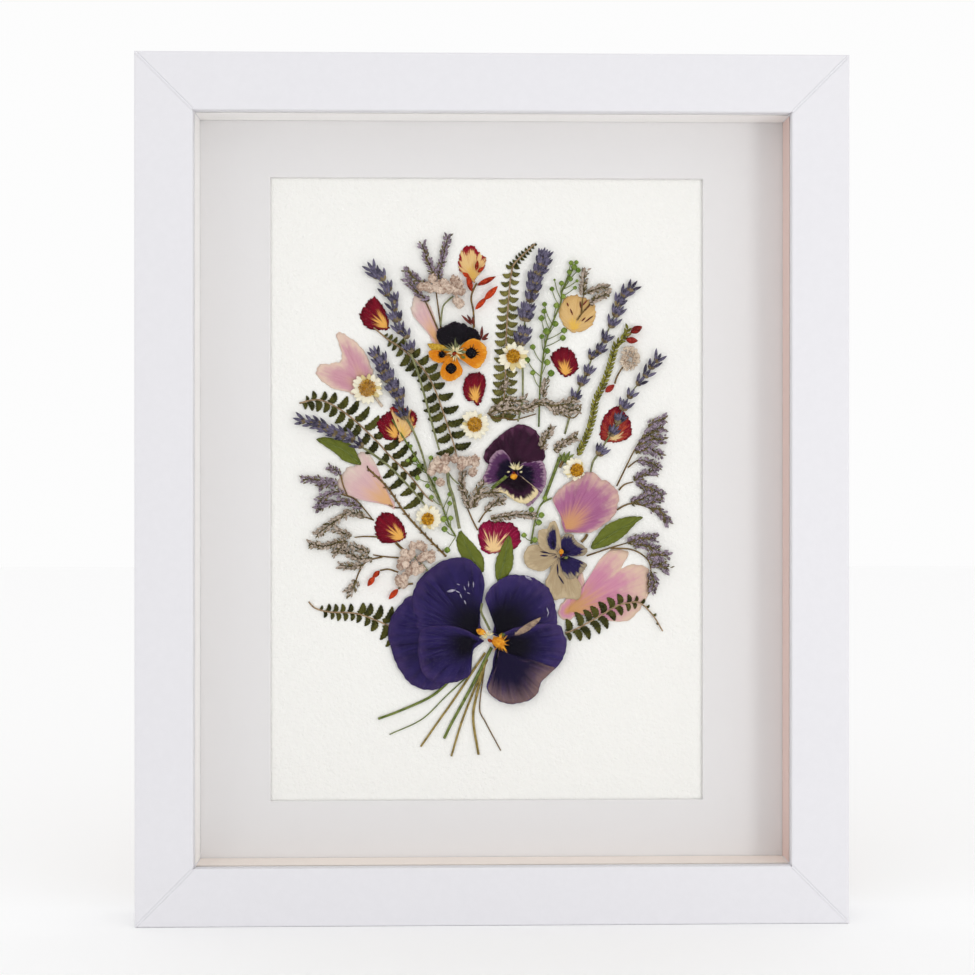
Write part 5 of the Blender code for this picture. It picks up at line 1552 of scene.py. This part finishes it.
@dataclass
class PodSprigs:
    """Three sprigs with round green pods on thin pedicels."""

    paper: Paper
    stem: float = 0.85
    pedicel: float = 0.4
    resolution: int = 160
    below: int = 14

    def sprig(self, name: str, path: list[Point], pods: list[tuple], height: Height,
              replaces: tuple[str, ...] = ()) -> None:
        """Lay a sprig.

        Args:
            name: of the piece.
            path: its stem, from the tip down.
            pods: x, z and radius of each pod.
            height: of the layer.
            replaces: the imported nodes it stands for.
        """
        dense = smooth_curve(path, self.resolution, False)
        made = Specimen(name, self.paper, replaces)
        made.add(tube(path, self.stem, height.value), Finish.STALK_GREEN)
        data = rows_of(pods)
        gaps = np.linalg.norm(data[:, None, :2] - dense[None], axis=2)
        feet = dense[np.minimum(gaps.argmin(axis=1) + self.below, self.resolution - 1)]
        for (x, z, _), foot in zip(pods, feet):
            middle = ((x + foot[0]) / 2 - 0.3, (z + foot[1]) / 2 - 0.5)
            made.add(tube([tuple(foot), middle, (x, z)], self.pedicel, height.value), Finish.STALK_GREEN)
        reach = data[:, 2:] * (0.0, 1.0)
        made.add(beads(data[:, :2] - reach, data[:, :2] + reach, data[:, 2] * 2.1,
                       height.value + 0.2, 0.55, 0.1, len(name)), Finish.POD)
        made.build()

    def build(self) -> None:
        """Lay all three."""
        self.sprig("pod_sprig_right_pods", [
            (39.6, 102), (37.6, 97.6), (34.4, 91.2), (33.8, 86), (30.6, 78), (27.6, 70), (26, 63.4),
            (25, 55), (24.2, 47), (24, 41.8), (23.6, 28.6)], [
            (37.6, 99.6, 1.3), (39.8, 101.8, 1.5), (41.6, 100.4, 1.3), (38.4, 103.8, 1.2), (40.8, 104, 1.1),
            (38, 96.4, 1.3), (34, 94.4, 1.3), (30.8, 96, 0.6), (29.6, 91.8, 1.2), (40.2, 92.4, 1),
            (41.2, 95.6, 0.8), (34.8, 88.4, 1.3), (26.2, 84.8, 1.2), (31.6, 84.2, 1.4), (26, 81.6, 1.3),
            (24.8, 78.4, 1.5), (31.2, 75.8, 1.5), (27, 72.4, 1.7), (35.2, 72.8, 1.5), (25, 70, 1.3),
            (34.6, 69.4, 1.5), (20.8, 65.2, 1.4), (27.4, 63.4, 1.5), (18.2, 59.2, 1.6), (27.4, 58.2, 1.6),
            (20.8, 53.4, 1.3), (29.2, 53.2, 1.7)],
            Height.LOW, ("pod_sprig_right",))
        self.sprig("pod_sprig_left_pods", [
            (-43.6, 32), (-38, 23), (-32.8, 14.8), (-26.8, 6), (-22.8, -2), (-17.6, -16), (-14.4, -21.6)], [
            (-35, 19.8, 0.9), (-33.2, 13.6, 1.3), (-36.4, 13.2, 1), (-25.8, 14.4, 1.2), (-31.4, 10.8, 1),
            (-32, 5.2, 1.3), (-24, 4.8, 1.2), (-27.4, 1.6, 1.2), (-25.6, -3.6, 1.2), (-17.2, -2.2, 1.2),
            (-17.2, -6.4, 1.2), (-20, -13.6, 1.6), (-16.8, -13.2, 1.3), (-19.6, -18.2, 1.5),
            (-18.4, -27.8, 1.5)], Height.LOW)
        self.sprig("pod_sprig_centre_pods", [
            (29.6, -4), (24.8, -6.8), (22.4, -12.4), (21.2, -18), (20, -25)], [
            (20.2, -9.2, 1.4), (24.8, -11.8, 1.5), (23.6, -15.2, 1.5), (16.8, -21, 1.3), (21.8, -23.2, 1.5),
            (26.4, -4, 1.2)], Height.LOW)


@dataclass
class Daisies:
    """Five daisy-like heads: white rays round a domed boss of tiny florets."""

    paper: Paper
    rays: int = 17
    wall: float = 0.1
    slender: float = 0.58
    boss_florets: int = 110
    floret: float = 0.75
    golden_turn: float = 2.39996

    def head(self, name: str, centre: Point, boss: float, reach: float, drift: Point,
             height: Height, seed: int) -> None:
        """Lay a head.

        Args:
            name: of its node.
            centre: of the boss.
            boss: its radius.
            reach: of the rays.
            drift: which way, and how far, the rays are pushed off centre.
            height: of the layer.
            seed: for the rays.
        """
        random = np.random.default_rng(SEED + seed)
        angles = np.linspace(0, 2 * math.pi, self.rays, endpoint=False)
        out = bearings(angles + random.uniform(-0.12, 0.12, self.rays))
        sizes = reach * random.uniform(0.86, 1.06, self.rays)
        tips = centre + out * sizes[:, None] + drift
        roots = centre + out * boss * 0.6
        made = Specimen(name + "_rays", self.paper, (name,), self.wall)
        lengths = np.linalg.norm(tips - roots, axis=1)
        bend = random.uniform(-0.5, 0.5, self.rays)
        widths = np.clip(lengths * self.slender, 1.7, 3.0)
        made.add(blades(roots, tips, widths, height.value, bend, seed), Finish.RAY)
        index = np.arange(self.boss_florets)
        radius = boss * np.sqrt((index + 0.5) / self.boss_florets)
        spots = centre + bearings(index * self.golden_turn) * radius[:, None]
        made.add(beads(spots - (0, 0.35), spots + (0, 0.35), self.floret, height.value + 0.5, 1.0, 0.0,
                       seed), Finish.BOSS)
        made.build()

    def build(self) -> None:
        """Lay all five."""
        self.head("daisy_top", (11.8, 60.8), 3.2, 7.2, (0.2, -0.4), Height.TOP, 1)
        self.head("daisy_left", (-54.8, 46.2), 4.0, 7.6, (0.0, 0.0), Height.HIGH, 2)
        self.head("daisy_middle", (-5.8, 29.6), 3.4, 6.8, (0.0, 0.0), Height.HIGH, 3)
        self.head("daisy_right", (41.0, 8.8), 3.0, 5.4, (-1.2, 0.6), Height.HIGH, 4)
        self.head("daisy_low", (-27.2, -13.6), 2.8, 6.2, (0.4, 0.8), Height.HIGH, 5)


@dataclass
class SmallPieces:
    """What has no solid of its own: ball florets, bud sprigs, heather, a papery cluster, twigs."""

    paper: Paper
    ball: float = 4.3
    knobs: int = 24

    def balls(self, name: str, spots: list[Point], stems: list[tuple], height: Height) -> None:
        """Lay a cluster of ball florets, each a knot of small beads, and its stems.

        Args:
            name: of the piece.
            spots: the middle of each ball.
            stems: path and width of each stem.
            height: of the layer.
        """
        made = Specimen(name, self.paper)
        for path, width in stems:
            made.add(tube(path, width, height.value), Finish.STALK)
        random = np.random.default_rng(SEED + len(spots))
        middle = rows_of(spots)
        half = (0.0, self.ball / 2)
        made.add(beads(middle - half, middle + half, self.ball, height.value, 0.6), Finish.BALL)
        centres = np.repeat(middle, self.knobs, axis=0)
        turn = random.uniform(0, 2 * math.pi, len(centres))
        far = np.sqrt(random.uniform(0.0, 1.0, len(centres))) * self.ball * 0.46
        feet = centres + bearings(turn) * far[:, None]
        swell = 1.7 * np.sqrt(1 - (far / self.ball / 0.6) ** 2)
        for level in range(3):
            chosen = np.digitize(swell, (1.15, 1.45)) == level
            made.add(beads(feet[chosen], feet[chosen] + (0.5, 0.9), 1.0,
                           height.value + swell[chosen].mean() - 0.4, 0.8, 0.2, level), Finish.BALL)
        made.build()

    def buds(self, name: str, buds: list[tuple], stems: list[tuple], height: Height,
             finish: Finish) -> None:
        """Lay a sprig of long buds.

        Args:
            name: of the piece.
            buds: foot, tip and width of each bud.
            stems: path and width of each stem.
            height: of the layer.
            finish: of the buds.
        """
        made = Specimen(name, self.paper)
        for path, width in stems:
            made.add(tube(path, width, height.value), Finish.STALK_BROWN)
        feet, tips, widths = (rows_of([bud[i] for bud in buds]) for i in range(3))
        made.add(beads(feet, tips, widths * 1.3, height.value + 0.2, 0.5, 0.3, len(buds)), finish)
        made.build()

    def heather(self) -> None:
        """Lay the heather twig with its paired scale leaves."""
        path = [(41.4, 15.6), (45.4, 24), (47.4, 29.6), (48.6, 34.4), (49.8, 40.8), (53.8, 49.6),
                (56.4, 57), (58.4, 64.2), (59.6, 66.6), (63.2, 70.2), (64.4, 73.4)]
        made = Specimen("heather_twig", self.paper)
        made.add(tube(path, 1.1, Height.LOW.value, 0.6), Finish.STALK_BROWN)
        count = 64
        places, ahead = along_path(path, count)
        sign = np.where(np.arange(count) % 2, 1.0, -1.0)
        tips = places + turned(ahead, sign * 0.62) * 3.1
        made.add(beads(places, tips, 1.7, Height.LOW.value + 0.2, 0.5, 0.5, 9), Finish.SCALE_GREEN)
        made.build()

    def papery(self) -> None:
        """Lay the papery cluster and its stem."""
        made = Specimen("papery_cluster", self.paper)
        stem = [(58.5, 48.5), (59.6, 51.8), (62, 55.8), (64.8, 59)]
        made.add(tube(stem, 0.9, Height.LOW.value, 0.7), Finish.STALK_BROWN)
        random = np.random.default_rng(SEED + 32)
        count = 150
        turn = random.uniform(0, 2 * math.pi, count)
        far = np.sqrt(random.uniform(0, 1, count))
        feet = np.stack((65.4 + 3.6 * far * np.cos(turn), 60 + 4.8 * far * np.sin(turn)), 1)
        tips = feet + bearings(turn) * 1.5
        made.add(beads(feet, tips, random.uniform(0.8, 1.5, count), Height.LOW.value, 0.8, 0.4, 32),
                 Finish.PAPERY)
        made.build()

    def build(self) -> None:
        """Lay every small piece."""
        self.balls("ball_florets_top", [
            (-25.2, 96.2), (-30.4, 92.4), (-28, 92.4), (-26, 91.6), (-24, 92.2), (-22.4, 93.2), (-20, 94),
            (-18.4, 92.8), (-17.6, 91.2), (-20.4, 91.2), (-22, 91.2), (-15.2, 95.6), (-13.2, 93.6),
            (-14.4, 90.4), (-12, 90.4), (-14, 86), (-12.8, 84.4), (-16.4, 92)],
            [([(-15.6, 88.4), (-18, 86.4), (-20.4, 83.2), (-21.4, 74.8)], 0.8)], Height.MIDDLE)
        self.balls("ball_florets_centre", [
            (-23, 12.8), (-19.2, 14), (-19.6, 12.4), (-15, 13.8), (-12, 12.8), (-10.2, 12.4), (-8, 12.8),
            (-5.8, 13.6), (-5.6, 12), (-24.8, 10), (-25.6, 8), (-21.6, 9.2), (-19.2, 9.2), (-12, 10.4),
            (-6.8, 7.6), (-21.6, 3.2)], [([(-18.4, 10), (-17.6, 2), (-15.6, -4), (-12.8, -18)], 1.5),
             ([(-18.4, 8.4), (-16, 5), (-13.2, 2.4)], 0.7)], Height.HIGH)
        self.balls("ball_florets_left", [
            (-34, -26), (-31.2, -25.6), (-29.6, -26.4), (-38, -29.2), (-34.8, -29.6), (-36.8, -31.6),
            (-39.2, -32.8), (-37.6, -34.4), (-39.6, -35.2), (-30.4, -31.6), (-28.4, -30.4), (-26, -30),
            (-26, -32), (-33.2, -34.8), (-30.4, -36.4), (-32.8, -37.6), (-35.6, -37.6), (-38, -40.4),
            (-40, -42.8), (-38.4, -43.6), (-40.4, -41.2)],
            [([(-34, -30), (-30, -34), (-27, -38)], 1.0)], Height.LOW)
        self.buds("red_bud_sprig_top", [
            ((-5.2, 100), (-4.4, 104.8), 1.6), ((-4.4, 99.2), (-1.6, 101.8), 1.5), ((-8.2, 97),
            (-11.4, 99.2), 1.8), ((-7.2, 90.4), (-9.2, 98.6), 2.5), ((-4.8, 93.2), (4, 97.4), 2.3),
            ((-1.4, 86.6), (4.8, 93), 2.7), ((-5.6, 82.2), (0, 88.2), 2.2)], [([(-6, 74), (-6.4, 81.6),
            (-7.4, 86.8), (-6.8, 90.4), (-4.8, 94.4)], 0.9)],
            Height.MIDDLE, Finish.ORANGE_BUD)
        self.buds("red_buds_right", [
            ((65.6, 71.8), (71, 74.6), 3.2), ((63.5, 68.5), (69, 68), 2.8), ((54, 44.5), (58.3, 48), 2.6)],
            [([(64, 70), (65.4, 71), (66, 72)], 0.8)], Height.MIDDLE, Finish.RED_BUD)
        self.buds("orange_buds_left", [
            ((-49.2, -37.2), (-52.6, -40.6), 2.2), ((-51.6, -39.8), (-54.8, -44.4), 2.4), ((-40.8, -45.6),
            (-45.2, -50.4), 2.4)], [([(-40.8, -38), (-45.2, -36.6), (-49.2, -37.2)], 0.8),
             ([(-34, -43.2), (-38, -43.8), (-40.8, -45.6)], 0.9)], Height.LOW, Finish.ORANGE_BUD)
        self.buds("calyx_bits", [
            ((-7, 75), (-12, 79.8), 1.2), ((-6.6, 75.4), (-9.4, 80), 1.1), ((-6.2, 75), (-6.8, 79), 1.1),
            ((-2.8, 68.6), (-2.4, 74.8), 1.3), ((-2.6, 68.4), (0.8, 71.6), 1.3), ((-2.6, 68.4), (0.4, 69),
            1.0)],
            [([(-6.4, 73.6), (-6.4, 75.4)], 0.7)], Height.HIGH, Finish.CALYX)
        self.buds("green_calyx", [
            ((35, 12.4), (38, 17.6), 1.5), ((35, 12.4), (40, 16.2), 1.5), ((34.6, 12.6), (35.4, 17.4), 1.4),
            ((35, 12.4), (39.4, 13.6), 1.3), ((34.6, 12.8), (33, 16.6), 1.2)],
            [([(33.2, 10), (34.8, 13)], 1.3)], Height.LOW, Finish.STALK_GREEN)
        marks = [((36.5, 85.8), (37.3, 83.8)), ((38, 83), (39.3, 79.8)), ((42.6, 86.5), (42.8, 83)),
                 ((43.5, 84), (46, 87)), ((43.2, 80.5), (48, 85.5)), ((43.2, 77), (45.2, 79)),
                 ((44.5, 76.5), (48.8, 79.8))]
        made = Specimen("rose_petal_marks", self.paper)
        ends = rows_of(marks)
        made.add(beads(ends[:, 0], ends[:, 1], 0.7, Height.PAPER.value + 0.55, 0.3), Finish.CALYX)
        made.build()
        self.heather()
        self.papery()


@dataclass
class Stems:
    """Loose stems: seven that run down from the lowest flower, and twigs between the flowers."""

    paper: Paper
    green: float = 1.3
    brown: float = 1.1
    thin: float = 0.6

    def build(self) -> None:
        """Lay every loose stem, each as a tube in one of two pieces."""
        low = Height.PAPER.value
        made = Specimen("stems_low", self.paper)
        seven = [
            ([(-13.5, -84), (-25, -94.5), (-40, -101.5), (-50, -105.2)], self.green, Finish.STALK_GREEN),
            ([(-7, -84), (-19, -95), (-30, -105.5), (-44.8, -112.4)], self.thin, Finish.STALK_GREEN),
            ([(-1, -75), (-15, -96), (-22.5, -106.5), (-30.5, -118)], self.brown, Finish.STALK_OLIVE),
            ([(2, -72.5), (-7.5, -91), (-16.5, -107.5), (-19.8, -114.3)], 1.5, Finish.STALK_GREEN),
            ([(0, -78), (-6, -92), (-12, -107.5), (-16.5, -122.5)], self.brown, Finish.STALK_OLIVE),
            ([(0, -76), (-4.5, -93), (-6.5, -105), (-4, -121.8)], self.green, Finish.STALK_OLIVE),
            ([(-1, -80), (-3.5, -100), (-1, -106.5), (6.2, -120)], self.thin, Finish.STALK_BROWN)]
        for path, width, finish in seven:
            made.add(tube(path, width, low, 0.85), finish)
        made.build()
        twigs = Specimen("stems_between", self.paper)
        brown = [(-54.8, 9.6), (-46, 1.2), (-38, -10.4), (-30.8, -18.6), (-22.4, -27.2), (-18.8, -30.8)]
        twigs.add(tube(brown, 0.95, low + 0.3), Finish.STALK_BROWN)
        places, ahead = along_path(brown, 30)
        lean = np.where(np.arange(30) % 2, 0.7, -0.7)
        sizes = np.random.default_rng(SEED).uniform(0.9, 2.6, 30)[:, None]
        twigs.add(beads(places, places - turned(ahead, lean) * sizes, 0.9, low + 0.4, 0.6, 0.5),
                  Finish.STALK_BROWN)
        for path, width, finish in (
                ([(-45.2, -7.2), (-42, -8.4), (-40, -8.4)], 0.7, Finish.STALK_BROWN),
                ([(33.2, 14.8), (31.6, 10), (28, 0.4), (26, -4.8)], 1.5, Finish.STALK_GREEN),
                ([(46, -20.6), (44.8, -22.6), (43.2, -24.2)], 1.3, Finish.STALK_BROWN),
                ([(-42, -24.4), (-40, -26.4), (-37.6, -28.4)], 1.2, Finish.STALK_BROWN),
                ([(-52, 43.4), (-50, 40.4), (-48, 37.8)], 1.2, Finish.PAPERY)):
            twigs.add(tube(path, width, low), finish)
        twigs.build()


@dataclass
class Studio:
    """The floor, the light and the camera."""

    camera_place: tuple[float, float, float] = (-0.0176, -0.716, 0.1967)
    camera_yaw: float = -0.0213
    camera_pitch: float = -0.0026
    lens: float = 58.2
    lit_place: tuple[float, float, float] = (0.0, 0.0, 0.2)
    floor_size: float = 6.0
    floor_shade: float = 0.98
    world_strength: float = 0.98

    def floor(self) -> None:
        """Lay the pale floor under the frame."""
        half = self.floor_size / 2
        mesh = bpy.data.meshes.new("floor")
        mesh.from_pydata([(-half, -half, 0), (half, -half, 0), (half, half, 0), (-half, half, 0)], [],
                         [(0, 1, 2, 3)])
        ground = bpy.data.objects.new("floor", mesh)
        bpy.context.scene.collection.objects.link(ground)
        shader = Shader("floor_finish", 0.9)
        shader.colour((self.floor_shade,) * 3)
        mesh.materials.append(shader.material)

    def lamp(self, name: str, place: tuple, size: float, power: float) -> None:
        """Set a square soft light that faces the middle of the frame."""
        light = bpy.data.lights.new(name, "AREA")
        light.size = size
        light.energy = power
        lamp = bpy.data.objects.new(name, light)
        lamp.location = place
        facing = Vector(np.subtract(self.lit_place, place))
        lamp.rotation_euler = facing.to_track_quat("-Z", "Y").to_euler()
        bpy.context.scene.collection.objects.link(lamp)

    def build(self) -> None:
        """Build the floor, a pale world, two soft lights and the camera."""
        self.floor()
        world = bpy.data.worlds.new("pale")
        world.use_nodes = True
        light = world.node_tree.nodes["Background"].inputs
        light["Color"].default_value = (1.0, 1.0, 1.0, 1.0)
        light["Strength"].default_value = self.world_strength
        bpy.context.scene.world = world
        bpy.context.scene.view_settings.view_transform = "Standard"
        self.lamp("key", (0.75, -1.05, 0.0), 0.3, 5.2)
        self.lamp("fill", (-0.8, -1.6, 1.0), 1.6, 1.5)
        data = bpy.data.cameras.new("camera")
        data.lens = self.lens
        data.sensor_width = 36.0
        camera = bpy.data.objects.new("camera", data)
        camera.location = self.camera_place
        camera.rotation_euler = (math.pi / 2 + self.camera_pitch, 0.0, self.camera_yaw)
        bpy.context.scene.collection.objects.link(camera)
        bpy.context.scene.camera = camera


def main() -> None:
    """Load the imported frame, dress it, lay the flowers and light the scene."""
    logging.basicConfig(level=logging.INFO)
    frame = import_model()
    CasedFrame().dress(frame["nodes"])
    MitreFill().build()
    paper = Paper.found(frame["record"])
    for sub_assembly in (Flowers, LoosePetals, Leaves, Ferns, Lavenders, Statice, PodSprigs, Daisies,
                         SmallPieces, Stems):
        sub_assembly(paper).build()
        LOG.info("%s laid", sub_assembly.__name__)
    Studio().build()
    LOG.info("studio lit")


if __name__ == "__main__":
    main()
